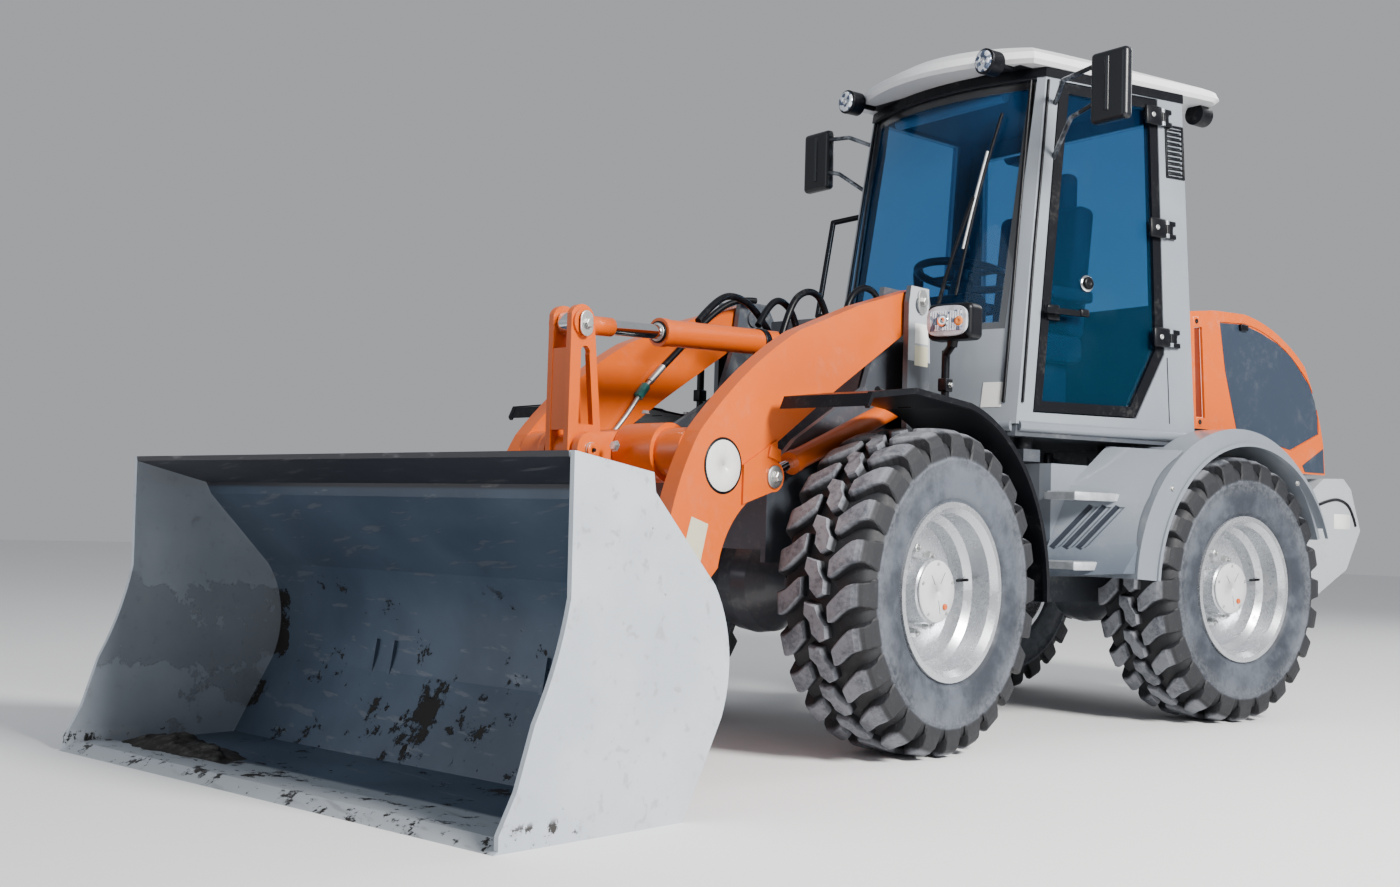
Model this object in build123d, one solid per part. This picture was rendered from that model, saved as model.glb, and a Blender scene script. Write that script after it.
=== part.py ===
from build123d import *
import os

# Articulated wheel loader: rear frame with cab and engine, front frame with the loader arms.
# Millimetres. +Z up, the machine points along -Y, its left side is +X, and the ground is z = 0.
# The articulation pins stand at x = y = 0. Everything ahead of them is drawn straight, then
# turned about them by STEER, because the machine is parked with its front steered to the left.

# ---------------------------------------------------------------- driving dimensions
STEER = 11.9                   # degrees that the front frame is turned to the left

WHEELBASE = 1980
TYRE_RADIUS = 523
TYRE_WIDTH = 336
TREAD_WIDTH = 304
WHEEL_X = 627                  # centre plane of a wheel from the machine's centre plane
BEAD_RADIUS = 262
FLANGE_RADIUS = 286
FLANGE_X = 158                 # outside of the rim's flange from the wheel's centre plane
SPINDLE_RADIUS = 60
RUNNING = 0.05                 # radial clearance of a pin in its bore

FRONT_AXLE_Y = -WHEELBASE / 2
REAR_AXLE_Y = WHEELBASE / 2
AXLE_Z = TYRE_RADIUS

STRAP_TOP_Z = 1133             # top of the strap that carries a front mudguard and its headlight

BUCKET_WIDTH = 1935
BUCKET_PLATE = 14

ARM_IN, ARM_OUT = 350, 410     # inner and outer faces of a lift arm
TOWER_IN = (318, 338)          # inner tower plate
TOWER_OUT = (422, 442)         # outer tower plate

# pivot centres of the loader linkage as (y, z)
ARM_PIVOT = (-706, 1497)
LIFT_BASE = (-706, 1157)
LIFT_EYE = (-1454, 869)
TILT_BASE = (-668, 1372)
ROCKER_TOP = (-1944, 1320)
ROCKER_PIVOT = (-1930, 930)
ROCKER_FOOT = (-1760, 432)
LINK_EYE = (-2225, 402)
BUCKET_PIVOT = (-2171, 248)
CROSS_TUBE = (-1750, 930)

# steering cylinders: pins on the rear frame and on the straight front frame as (x, y)
STEER_BASE = (180, 420)
STEER_EYE = (200, -270)
STEER_Z = 640
RAIL = (300, 320)              # inner and outer faces of a rear frame rail

# towing pin in the counterweight
HITCH_Y = 1930
HITCH_RADIUS = 16
HITCH_SLOT = 70                # half width of the mouth

GROOVE_DEPTH = 10              # grooves in the side tanks

CAB_SILL_Z = 1120
CAB_TOP_Z = 2500
CAB_WALL = 45
CAB_FRONT_Y = -65              # foot of the front pillars
CAB_RAKE = 195                 # how far the front pillars lean back
CAB_REAR_Y = 820
CAB_FRONT_X = 549              # half width of the sill at y = 0
CAB_TOE = 0.142                # sideways flare of the side walls for each mm rearwards
CAB_LEAN = 0.061               # inward lean of the side walls for each mm upwards
GLASS_DEPTH = 12               # glass behind the outside of the panel that holds it
GLASS_THICK = 6
WINDSCREEN = (-455, 455, -300, 200, 1480, 2455)
REAR_WINDOW = (-470, 470, 600, 900, 1650, 2400)
DOOR = ((15, 1165), (190, 2455), (690, 2460), (677, 1430), (520, 1170))
HINGE_Y = 697                  # door hinge line, and how far it stands out of the wall
HINGE_OUT = 14
HINGE_HEIGHTS = (1495, 1930, 2384)
HINGE_RADIUS = 11
HINGE_PIN_RADIUS = 5
MIRROR_TUBE = 9
MIRROR_POST = 11

HOOD_HALF = 620
HOOD_SKIN = 25
HOOD_FRONT_Y = 832
HOOD_HINGE = (845, 1632)
HOOD_HINGE_X = (300, 360)      # outer faces of a fixed hinge lug pair
HOOD_PIN_RADIUS = 6

MUDGUARD = (925, 528)          # centre of the rear mudguard's arch as (y, z)
MUDGUARD_RADIUS = 620
MUDGUARD_EDGE_X = 806


# ---------------------------------------------------------------- drawing helpers
def outline(start, *path):
    """Closed face in local X, Y. A step is a point, or an arc as (point on it, end)."""
    edges = []
    here = start
    for step in path + (start,):
        if isinstance(step[0], tuple):
            edges.append(ThreePointArc(here, step[0], step[1]))
            here = step[1]
        elif step != here:
            edges.append(Line(here, step))
            here = step
    return make_face(edges)


def plate(x0, x1, start, *path):
    """Plate between x0 and x1 with its outline in (y, z)."""
    return extrude(Plane.YZ.offset(x0) * outline(start, *path), amount=x1 - x0, dir=(1, 0, 0))


def slab(z0, z1, start, *path):
    """Plate between heights z0 and z1 with its outline in (x, y)."""
    return extrude(Plane.XY.offset(z0) * outline(start, *path), amount=z1 - z0, dir=(0, 0, 1))


def block(x0, x1, y0, y1, z0, z1):
    return Pos((x0 + x1) / 2, (y0 + y1) / 2, (z0 + z1) / 2) * Box(x1 - x0, y1 - y0, z1 - z0)


def across(centre, radius, x0, x1):
    """Round bar from x0 to x1 along X, through (y, z)."""
    place = Pos((x0 + x1) / 2, centre[0], centre[1]) * Rot(0, 90, 0)
    return place * Cylinder(radius, x1 - x0)


def upright(x, y, radius, z0, z1):
    return Pos(x, y, (z0 + z1) / 2) * Cylinder(radius, z1 - z0)


def rod_between(a, b, radius):
    """Round bar between two points in space."""
    a, b = Vector(*a), Vector(*b)
    return Plane(origin=(a + b) * 0.5, z_dir=b - a) * Cylinder(radius, (b - a).length)


def tube(points, radius):
    """Round bar bent along a line of points."""
    body = union(*[rod_between(a, b, radius) for a, b in zip(points, points[1:])])
    for point in points[1:-1]:
        body = body + Pos(*point) * Sphere(radius)
    return body


def turned(start, *path):
    """Body turned about the X axis from an outline in (x, radius)."""
    return revolve(outline(start, *path), Axis.X, 360)


def both(shape):
    """A left piece together with its mirror image."""
    return Compound(children=[*shape.solids(), *mirror(shape, Plane.YZ).solids()])


def union(first, *others):
    for other in others:
        first = first + other
    return first


def save(name, shape, front=False):
    solids = shape.solids()
    shape = solids[0] if len(solids) == 1 else Compound(children=list(solids))
    if front:
        shape = Rot(0, 0, STEER) * shape
    export_step(shape, f"parts/{name}.step")


os.makedirs("parts", exist_ok=True)


# ---------------------------------------------------------------- wheels
def tyre():
    half, tread = TYRE_WIDTH / 2, TREAD_WIDTH / 2
    bead = FLANGE_X - 10
    return turned(
        (-bead, BEAD_RADIUS), (bead, BEAD_RADIUS), (bead, FLANGE_RADIUS),
        ((half, 385), (half - 4, 455)), (tread, 496),
        ((tread - 12, 512), (tread - 40, 517)), ((0, TYRE_RADIUS), (40 - tread, 517)),
        ((12 - tread, 512), (-tread, 496)), (4 - half, 455),
        ((-half, 385), (-bead, FLANGE_RADIUS)),
    )


def rim():
    flange, edge = FLANGE_X, FLANGE_X - 10
    shell = turned(
        (-flange, FLANGE_RADIUS), (-edge, FLANGE_RADIUS), (-edge, BEAD_RADIUS), (edge, BEAD_RADIUS),
        (edge, FLANGE_RADIUS), (flange, FLANGE_RADIUS), (flange, 268), (edge - 12, 250),
        (70, 248), (50, 226), (4, 218), (-4, 96), (-22, 96), (-26, 226), (-70, 236), (-edge + 12, 250),
        (-flange, 268),
    )
    hub = turned(
        (-120, SPINDLE_RADIUS + RUNNING), (-22, SPINDLE_RADIUS + RUNNING), (-22, 0), (91, 0), (91, 92),
        (82, 105), (-4, 108), (-22, 165), (-44, 165), (-44, 118), (-120, 112),
    )
    return shell + hub


def wheels():
    for end, y in (("front", FRONT_AXLE_Y), ("rear", REAR_AXLE_Y)):
        for side, sign in (("left", 1), ("right", -1)):
            place = Pos(sign * WHEEL_X, y, AXLE_Z) * Rot(0, 0, 0 if sign > 0 else 180)
            for name, shape in (("tyre", tyre()), ("rim", rim())):
                save(f"{end}_{side}_{name}", place * shape, front=end == "front")


def axle(y, nose):
    """Axle housing with its spindles; nose is the side that the drive shaft comes from."""
    hub_face = WHEEL_X - 126
    half = [(0, 178), (60, 170), (120, 130), (170, 88), (420, 82), (430, 122), (hub_face, 122),
            (hub_face, SPINDLE_RADIUS), (WHEEL_X - 26, SPINDLE_RADIUS), (WHEEL_X - 26, 0)]
    body = turned((0, 0), *half)
    housing = body + mirror(body, Plane.YZ)
    pinion = Pos(0, nose * 190, 0) * Rot(90, 0, 0) * Cylinder(75, 160)
    return Pos(0, y, AXLE_Z) * (housing + pinion)


# ---------------------------------------------------------------- front frame
def front_frame():
    inner = plate(
        *TOWER_IN, (-575, 1500), (-620, 1560), (-775, 1560), (-800, 1400), (-880, 1200), (-1250, 1000),
        (-1390, 880), (-1390, 600), (-1110, 600), (-1110, 612), (-870, 612), (-830, 440), (-320, 440),
        (-320, 835), (-575, 960),
    )
    outer = plate(*TOWER_OUT, (-640, 1500), (-660, 1560), (-760, 1560), (-775, 1500), (-775, 1062),
                  (-640, 1062))
    shelf = block(TOWER_IN[1], TOWER_OUT[1], -775, -640, 1046, 1062)
    web = block(TOWER_IN[1], TOWER_OUT[0], -652, -640, 1062, 1380)
    side = union(inner, outer, shelf, web)
    side = union(side, across(ARM_PIVOT, 30, TOWER_IN[0] - 8, TOWER_OUT[1] + 6))
    side = union(side, across(LIFT_BASE, 22, TOWER_IN[0] - 8, TOWER_OUT[1] + 6))
    x = TOWER_IN[0]
    frame = union(
        side, mirror(side, Plane.YZ),
        block(-x, x, -592, -575, 700, 1500),
        block(-x, x, -1390, -1372, 640, 860),
        block(-x, x, -337, -320, 475, 800),
        block(-x, x, -1000, -600, 706, 722),
    )
    for z0, z1 in ((800, 835), (440, 475)):
        frame = union(frame, slab(z0, z1, (-x, -560), (x, -560), (x, -320), (78, 20),
                                  ((0, 85), (-78, 20)), (-x, -320)))
        frame = union(frame, upright(0, 0, 35, z0 - 20, z1 + 20))
    frame = union(frame, upright(0, 0, 35, 760, 820), upright(0, 0, 35, 460, 520))
    for s in (-1, 1):
        lug = plate(*sorted((s * 32, s * 50)), (-592, 1300), (-650, 1322),
                    ((-718, 1372), (-650, 1422)), (-592, 1450))
        frame = union(frame, lug)
    for s in (-1, 1):
        x, y = s * STEER_EYE[0], STEER_EYE[1]
        frame = frame - block(x - 90, x + 85, -350, -310, STEER_Z - 23, STEER_Z + 23)
        for z0, z1 in ((604, 616), (664, 676)):
            lug = slab(z0, z1, (x - 40, -325), (x - 32, y), ((x, y + 32), (x + 32, y)), (x + 40, -325))
            frame = union(frame, lug)
        frame = union(frame, upright(x, y, 14, 604, 618), upright(x, y, 14, 662, 676))
    return union(frame, across(TILT_BASE, 22, -56, 56))


def guard_strip(r_in, r_out, x0, x1):
    """Arch behind the front wheel that runs into a flat brow ahead of it."""
    cy, cz = FRONT_AXLE_Y, AXLE_Z
    slant = 0.7071
    face = outline(
        (cy + r_out, cz - 40), ((cy + r_out * slant, cz + r_out * slant), (cy + 60, cz + r_out + 22)),
        (cy - 250, cz + r_out + 45), (cy - 480, cz + r_out + 15), (cy - 500, cz + r_out - 25),
        (cy - 492, cz + r_in - 17), (cy - 474, cz + r_in + 15), (cy - 250, cz + r_in + 45),
        (cy + 58, cz + r_in + 22), ((cy + r_in * slant, cz + r_in * slant), (cy + r_in, cz - 40)),
    )
    return extrude(Plane.YZ.offset(x0) * face, amount=x1 - x0, dir=(1, 0, 0))


def front_fender():
    """Left front mudguard with a thick rim on its outer edge and the strap that carries it."""
    strap = plate(535, 585, (-960, 1117), (-950, 1121), (-700, 1121), (-700, 1133), (-960, 1133))
    arm = block(TOWER_OUT[1], 585, -735, -695, 1121, STRAP_TOP_Z)
    return union(guard_strip(572, 580, 462, 795), guard_strip(565, 584, 781, 797), strap, arm)


def headlight(sign):
    post = union(rod_between((sign * 560, -720, STRAP_TOP_Z), (sign * 560, -720, 1330), 14),
                 rod_between((sign * 560, -720, 1318), (sign * 600, -745, 1345), 14))
    case = fillet(block(-88, 88, -45, 45, -62, 62).edges(), 22)
    return union(Pos(sign * 620, -760, 1419) * case, post,
                 rod_between((sign * 600, -745, 1340), (sign * 610, -750, 1380), 18))


# ---------------------------------------------------------------- loader linkage
def arms():
    left = plate(
        ARM_IN, ARM_OUT, (-700, 1555), (-1013, 1462), (-1332, 1343), ((-1574, 1192), (-1795, 993)),
        ((-1880, 835), (-1930, 660)), (-2225, 290), ((-2231, 198), (-2130, 188)), (-1700, 585),
        ((-1640, 720), (-1524, 813)), (-1430, 980), (-1135, 1167), (-700, 1425), ((-636, 1490), (-700, 1555)),
    )
    for x0, x1 in ((ARM_IN - 8, ARM_IN + 4), (ARM_OUT - 4, ARM_OUT + 8)):
        left = union(left, plate(x0, x1, (-1600, 900), (-1600, 780), (-1460, 822),
                                 ((-1406, 862), (-1440, 917)), (-1440, 985)))
    slot = block(ARM_IN + 4, ARM_OUT - 4, -1535, -1380, 790, 950)
    left = left - slot
    left = left - across(ARM_PIVOT, 30 + RUNNING, ARM_IN - 1, ARM_OUT + 1)
    left = left - across(BUCKET_PIVOT, 25 + RUNNING, ARM_IN - 1, ARM_OUT + 1)
    tube = across(CROSS_TUBE, 76, -ARM_IN, ARM_IN)
    collars = [across(CROSS_TUBE, 92, s * 170 - 80, s * 170 + 80) for s in (-1, 1)]
    frame = union(left, mirror(left, Plane.YZ), tube, *collars)
    for s in (-1, 1):
        ear = plate(*sorted((s * 62, s * 86)), (-1750, 1000), (-1920, 985), ((-1985, 930), (-1930, 872)),
                    (-1750, 860))
        frame = union(frame, ear - across(ROCKER_PIVOT, 24 + RUNNING, -90, 90))
    return frame


def rocker():
    """Bell crank of two cheeks, tied by the pivot boss and a web along the front edge."""
    cheek = plate(
        30, 50, (-1992, 1345), ((-1944, 1376), (-1896, 1340)), (-1848, 930), ((-1826, 700), (-1722, 455)),
        ((-1748, 390), (-1802, 420)), ((-1930, 660), (-1992, 900)),
    )
    window = plate(20, 60, (-1948, 1225), ((-1930, 1250), (-1912, 1225)), (-1888, 1010), (-1950, 1010))
    cheek = cheek - window
    web = plate(-31, 31, (-1990, 1240), (-1974, 1240), (-1974, 990), (-1990, 990))
    body = union(cheek, mirror(cheek, Plane.YZ), web, across(ROCKER_PIVOT, 50, -56, 56))
    boss = union(across(ROCKER_TOP, 42, 48, 58), across(ROCKER_TOP, 20, 28, 64))
    body = union(body, boss, mirror(boss, Plane.YZ))
    foot_pin = union(across(ROCKER_FOOT, 20, 25, 31), across(ROCKER_FOOT, 26, 49, 56))
    body = union(body, foot_pin, mirror(foot_pin, Plane.YZ))
    return body - across(ROCKER_PIVOT, 24 + RUNNING, -90, 90)


def tilt_link():
    """Link from the rocker's foot to the bucket; its rear eye is open between the rocker's cheeks."""
    foot, eye = ROCKER_FOOT, LINK_EYE
    bar = rod_between((0, *foot), (0, *eye), 24)
    ends = union(across(foot, 42, -20, 20), across(eye, 42, -20, 20))
    return union(bar, ends) - across(eye, 20 + RUNNING, -60, 60)


def along(a, b, r_in, r_out, start, end):
    """Tube about the line from a to b in (y, z), between two distances from a."""
    a, b = Vector(0, *a), Vector(0, *b)
    way = (b - a).normalized()
    body = rod_between(a + way * start, a + way * end, r_out)
    if r_in:
        body = body - rod_between(a + way * (start - 1), a + way * (end + 1), r_in)
    return body


def cylinder_pair(base, eye, base_pin, bore, rod, width, barrel_end, piston):
    """Barrel and rod of a hydraulic cylinder from its base pin to its rod's eye, in (y, z).

    barrel_end and piston are distances from the base pin.
    """
    length = (Vector(*eye, 0) - Vector(*base, 0)).length
    wall, gland_length, piston_length = 8, 28, 30
    shell = along(base, eye, bore, bore + wall, 80, barrel_end)
    cap = along(base, eye, 0, bore + wall, 62, 80)
    gland = along(base, eye, rod + RUNNING, bore + wall + 3, barrel_end, barrel_end + gland_length)
    neck = along(base, eye, 0, bore * 0.7, 0, 62)
    lug = across(base, bore, -width / 2, width / 2)
    barrel = union(lug, neck) - across(base, base_pin + RUNNING, -width, width)
    shaft = along(base, eye, 0, rod, piston, length - 20)
    head = along(base, eye, 0, bore - 0.5, piston, piston + piston_length)
    end = across(eye, rod + 14, 3 - width / 2, width / 2 - 3)
    return union(barrel, cap, shell, gland), union(shaft, head, end)


# ---------------------------------------------------------------- bucket
def bucket():
    half, t = BUCKET_WIDTH / 2, BUCKET_PLATE
    shell = plate(
        t - half, half - t, (-2890, 0), (-2455, 0), (-2318, 238), ((-2291, 385), (-2352, 560)),
        (-2567, 775), (-2590, 815), (-2838, 872), (-2836, 858), (-2600, 803), (-2580, 767), (-2363, 550),
        ((-2305, 385), (-2331, 245)), (-2463, t), (-2890, t),
    )
    cheek = plate(
        half - t, half, (-3021, 0), (-2440, 0), (-2309, 240), ((-2285, 390), (-2345, 566)), (-2567, 787),
        (-2575, 834), (-2835, 872), (-2831, 542), ((-2862, 420), (-2927, 269)), (-2973, 128), (-3021, 39),
    )
    body = union(shell, cheek, mirror(cheek, Plane.YZ))
    for s in (-1, 1):
        for x in (330, 416):
            ear = plate(*sorted((s * x, s * (x + 14))), (-2318, 340), (-2160, 305),
                        ((-2114, 240), (-2170, 190)), (-2345, 170))
            body = union(body, ear - across(BUCKET_PIVOT, 25 + RUNNING, -500, 500))
        lug = plate(*sorted((s * 26, s * 42)), (-2300, 460), (-2230, 446),
                    ((-2182, 402), (-2230, 358)), (-2300, 330))
        body = union(body, lug)
    return body - across(LINK_EYE, 20 + RUNNING, -60, 60) - cutting_edge()


def cutting_edge():
    return plate(-BUCKET_WIDTH / 2, BUCKET_WIDTH / 2, (-3035, 0), (-2890, 0), (-2890, 25), (-2985, 25))


# ---------------------------------------------------------------- rear frame
def rear_frame():
    x_in, x_out = RAIL
    rail = plate(
        x_in, x_out, (150, 450), (150, 900), (300, 1040), (900, 900), (1750, 900), (1750, 560), (1300, 560),
        (1110, 612), (870, 612), (800, 450),
    )
    front = block(-x_in, x_in, 150, 168, 450, 900) - block(-285, 285, 140, 180, 530, 745)
    frame = union(rail, mirror(rail, Plane.YZ), front,
                  block(-x_in, x_in, 1600, 1620, 560, 900), block(-x_in, x_in, 700, 720, 450, 620))
    for z0, z1 in ((770, 795), (480, 505)):
        nose = slab(z0, z1, (-x_in, 160), (-70, -20), ((0, -85), (70, -20)), (x_in, 160))
        frame = union(frame, nose - upright(0, 0, 35 + RUNNING, z0 - 1, z1 + 1))
    for s in (-1, 1):
        x, y = s * STEER_BASE[0], STEER_BASE[1]
        for z0, z1 in ((590, 602), (678, 690)):
            frame = union(frame, block(*sorted((x - s * 40, s * x_in)), y - 40, y + 40, z0, z1))
        frame = union(frame, upright(x, y, 18, 590, 690))
        frame = union(frame, block(*sorted((s * x_in, s * 520)), 0, 90, 985, 1030),
                      block(*sorted((s * x_in, s * x_out)), 0, 320, 900, 1030),
                      block(*sorted((s * x_in, s * 430)), 600, 660, 985, 1030),
                      block(*sorted((s * x_in, s * x_out)), 590, 680, 880, 1030))
    lock_room = block(-x_in - 6, x_in + 6, 140, 190, STEER_Z - 40, STEER_Z + 40)
    return union(frame - lock_room, bulkhead())


def bulkhead():
    """Plate between the cab and the engine, with the lugs and pins of the hood's hinges."""
    wall = plate(-590, 590, (845, 1055), (845, 1590), (853, 1590), (853, 1055))
    for x0, x1 in ((-600, -425), (425, 600)):
        wall = wall - across(MUDGUARD, MUDGUARD_RADIUS + 6, x0, x1)
    foot = block(-RAIL[1], RAIL[1], 845, 853, 880, 1060)
    y, z = HOOD_HINGE
    inner, outer = HOOD_HINGE_X
    lugs = union(block(inner, inner + 12, y - 8, y + 8, 1560, z), across(HOOD_HINGE, 10, inner, inner + 12),
                 block(outer - 12, outer, y - 8, y + 8, 1560, z), across(HOOD_HINGE, 10, outer - 12, outer),
                 across(HOOD_HINGE, HOOD_PIN_RADIUS, inner, outer))
    return union(wall, foot, lugs, mirror(lugs, Plane.YZ))


def cab_mounts():
    return both(union(upright(470, 45, 38, 1030, 1075), upright(385, 630, 38, 1030, 1075)))


def counterweight():
    body = plate(
        -HOOD_HALF, HOOD_HALF, (1640, 900), (1780, 990), (1930, 995), (1990, 950), (2064, 770), (1960, 600),
        (1740, 490), (1640, 490),
    )
    body = body - block(-RAIL[1], RAIL[1], 1600, 1750, 480, 900)
    slot = block(-HITCH_SLOT, HITCH_SLOT, HITCH_Y - 60, 2100, 640, 700)
    foot = block(-HITCH_SLOT, HITCH_SLOT, HITCH_Y - 60, 2100, 400, 600)
    return body - slot - foot - upright(0, HITCH_Y, HITCH_RADIUS, 590, 760)


def engine():
    return block(-RAIL[0], RAIL[0], 900, 1560, 720, 1180)


def rear_fender():
    """Left rear mudguard: an arch, its outer cheek with a rolled edge, and a bracket to the frame."""
    axle, edge = (REAR_AXLE_Y, AXLE_Z), MUDGUARD_EDGE_X
    arch = across(MUDGUARD, MUDGUARD_RADIUS, 440, edge)
    arch = arch - across(MUDGUARD, MUDGUARD_RADIUS - 18, 430, edge - 18)
    arch = arch - across(axle, 563, edge - 30, edge + 10)
    roll = across(axle, 575, edge - 6, edge + 8) - across(axle, 560, edge - 10, edge + 10)
    roll = roll & across(MUDGUARD, MUDGUARD_RADIUS, edge - 10, edge + 10)
    y, z = axle
    sector = plate(420, 820, (y, z), (y - 900, z + 50), (y - 900, z + 900),
                   (y + 700, z + 900), (y + 900, z + 360))
    bracket = block(RAIL[1], 450, 905, 925, 800, 1130)
    return union((union(arch, roll) & sector), bracket) - block(400, 676, 100, 838, 1066, 1300)


def flare(shift):
    """Body that widens from the cab's foot to the edge of the mudguard, moved back by shift."""
    near = [(100, 560), (95, 675), (216, 905), (420, 1060), (760, 1060), (560, 560)]
    far = [(234, 580), (330, 690), (415, 868), (560, 1045), (760, 1060), (560, 580)]
    faces = [Plane.YZ.offset(x) * Pos(shift, 0) * make_face(Polyline(*points, close=True))
             for x, points in ((560, near), (MUDGUARD_EDGE_X - 10, far))]
    return loft(faces, ruled=True)


def side_tank():
    """Left tank ahead of the rear wheel, with three slanting grooves in its flared front."""
    box = slab(560, 980, (RAIL[1], 100), (510, 100), (560, 108), (560, 560), (RAIL[1], 560))
    skin = flare(0) - flare(GROOVE_DEPTH)
    body = union(box, flare(0))
    for k in range(3):
        y = 106 + 33 * k
        body = body - (plate(550, 800, (y, 668), (y + 140, 824), (y + 158, 824), (y + 18, 668)) & skin)
    return body - across(MUDGUARD, MUDGUARD_RADIUS + 5, 270, MUDGUARD_EDGE_X + 10)


def steps():
    """Two treads that stand on the tank's flared front."""
    treads = union(block(558, 700, 75, 295, 590, 616), block(558, 700, 75, 360, 846, 872))
    return treads - side_tank()


# ---------------------------------------------------------------- cab
def side_x(y, z):
    """Outside of the cab's left wall at (y, z)."""
    return CAB_FRONT_X + CAB_TOE * y - CAB_LEAN * (z - CAB_SILL_Z)


def cab_section(z, inset):
    """Horizontal section of the cab in (x, y), drawn in by inset."""
    rise = (z - CAB_SILL_Z) / (CAB_TOP_Z - CAB_SILL_Z)
    front = CAB_FRONT_Y + CAB_RAKE * rise + inset
    rear = CAB_REAR_Y - inset
    bow = 110
    xf, xr = side_x(front, z) - inset, side_x(rear, z) - inset
    return Plane.XY.offset(z) * outline((xf, front), (xr, rear), (-xr, rear), (-xf, front),
                                        ((0, front - bow), (xf, front)))


def cab_solid(z0, z1, inset):
    return loft([cab_section(z0, inset), cab_section(z1, inset)], ruled=True)


def door_panel(depth0, depth1, margin):
    """Slab that follows the left wall, between two depths inside it, shrunk by margin."""
    (y0, z0), (y1, z1), (y2, z2), (y3, z3), (y4, z4) = DOOR
    m = margin
    corners = [(y0 + m, z0 + m), (y1 + m, z1 - m), (y2 - m, z2 - m),
               (y3 - m, z3 + m * 0.4), (y4 - m * 0.6, z4 + m)]
    face = make_face(Polyline(*corners, close=True))
    column = extrude(Plane.YZ.offset(300) * face, amount=500, dir=(1, 0, 0))
    outer = slice_of_wall(depth0)
    inner = slice_of_wall(depth1)
    return (column & outer) - inner


def slice_of_wall(depth):
    """Everything inboard of the left wall's outside moved in by depth."""
    y0, y1, z0, z1 = -400, 1200, 1000, 2600
    corners = [[(side_x(y, z) - depth, y, z) for y in (y0, y1)] for z in (z0, z1)]
    ends = [Face(Wire.make_polygon([(-900, y0, z), near, far, (-900, y1, z)], close=True))
            for z, (near, far) in zip((z0, z1), corners)]
    return loft(ends, ruled=True)


def cab_frame():
    frame = cab_solid(CAB_SILL_Z, CAB_TOP_Z, 0) - cab_solid(CAB_SILL_Z + 30, CAB_TOP_Z - 30, CAB_WALL)
    hole = extrude(Plane.YZ * make_face(Polyline(*DOOR, close=True)), amount=900, both=True)
    frame = frame - hole - block(*WINDSCREEN) - block(*REAR_WINDOW)
    for z in range(2165, 2345, 20):
        frame = frame - block(500, 700, 735, 803, z, z + 10)
    for hinge in HINGE_HEIGHTS:
        for z in (hinge - 26, hinge + 26):
            leaf = wall_layer(-14, -3, HINGE_Y, 748, z - 8, z + 8)
            foot = wall_layer(-4, 4, 722, 748, z - 8, z + 8)
            frame = union(frame, foot, leaf, hinge_bar(z, 8, HINGE_RADIUS))
        frame = union(frame, hinge_bar(hinge, 30, HINGE_PIN_RADIUS))
    return frame


def wall_layer(depth0, depth1, y0, y1, z0, z1):
    """Patch of the left wall between two depths inside it."""
    return (block(300, 900, y0, y1, z0, z1) & slice_of_wall(depth0)) - slice_of_wall(depth1)


def hinge_bar(z, half, radius):
    """Round bar on the door's hinge line, centred at height z."""
    ends = [(side_x(HINGE_Y, h) + HINGE_OUT, HINGE_Y, h) for h in (z - half, z + half)]
    return rod_between(*ends, radius)


def pane(x0, x1, y0, y1, z0, z1):
    """Flat or bowed glass that follows the cab's outside, inside a rectangular window."""
    gap = 2
    low, high = z0 + gap, z1 - gap
    shell = cab_solid(low, high, GLASS_DEPTH) - cab_solid(low, high, GLASS_DEPTH + GLASS_THICK)
    return shell & block(x0 + gap, x1 - gap, y0, y1, low, high)


def door():
    """Door frame with its three hinge leaves, a lever handle and a round latch."""
    frame = door_panel(0, 30, 5) - door_panel(-5, 40, 45)
    for z in HINGE_HEIGHTS:
        leaf = wall_layer(-14, -3, 605, HINGE_Y, z - 16, z + 16)
        foot = wall_layer(-4, 4, 648, 668, z - 16, z + 16)
        knuckle = hinge_bar(z, 16, HINGE_RADIUS)
        frame = union(frame, foot, leaf, knuckle) - hinge_bar(z, 20, HINGE_PIN_RADIUS + RUNNING)
    bracket = wall_layer(-4, 28, 82, 152, 1520, 1575)
    lever = wall_layer(-38, -24, 60, 262, 1540, 1562)
    spindle = wall_layer(-26, -2, 110, 138, 1537, 1565)
    return union(frame, bracket, lever, spindle)


def door_glass():
    pane = door_panel(GLASS_DEPTH, GLASS_DEPTH + GLASS_THICK, 46)
    return pane - block(300, 900, 30, 154, 1518, 1577)


def roof_section(z, inset):
    """Horizontal section of the roof in (x, y): a bowed front edge and rounded rear corners."""
    f, r = 500 - inset, 610 - inset
    y0, y1, y2 = 40 + inset, 1000 - inset, 1080 - inset
    return Plane.XY.offset(z) * outline((f, y0), (r, y1), ((r - 22, y2 - 22), (r - 100, y2)), (100 - r, y2),
                                        ((22 - r, y2 - 22), (-r, y1)), (-f, y0), ((0, y0 - 170), (f, y0)))


def cab_roof():
    """Moulded roof, thick at its front edge and thinner towards the rear."""
    sections = ((CAB_TOP_Z, 14), (CAB_TOP_Z + 14, 0), (CAB_TOP_Z + 45, 12), (CAB_TOP_Z + 100, 110))
    parts = [loft([roof_section(*a), roof_section(*b)], ruled=True) for a, b in zip(sections, sections[1:])]
    slope = plate(-700, 700, (-200, CAB_TOP_Z), (-200, CAB_TOP_Z + 108), (250, CAB_TOP_Z + 100),
                  (1100, CAB_TOP_Z + 32), (1100, CAB_TOP_Z))
    return union(*parts) & slope


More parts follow.
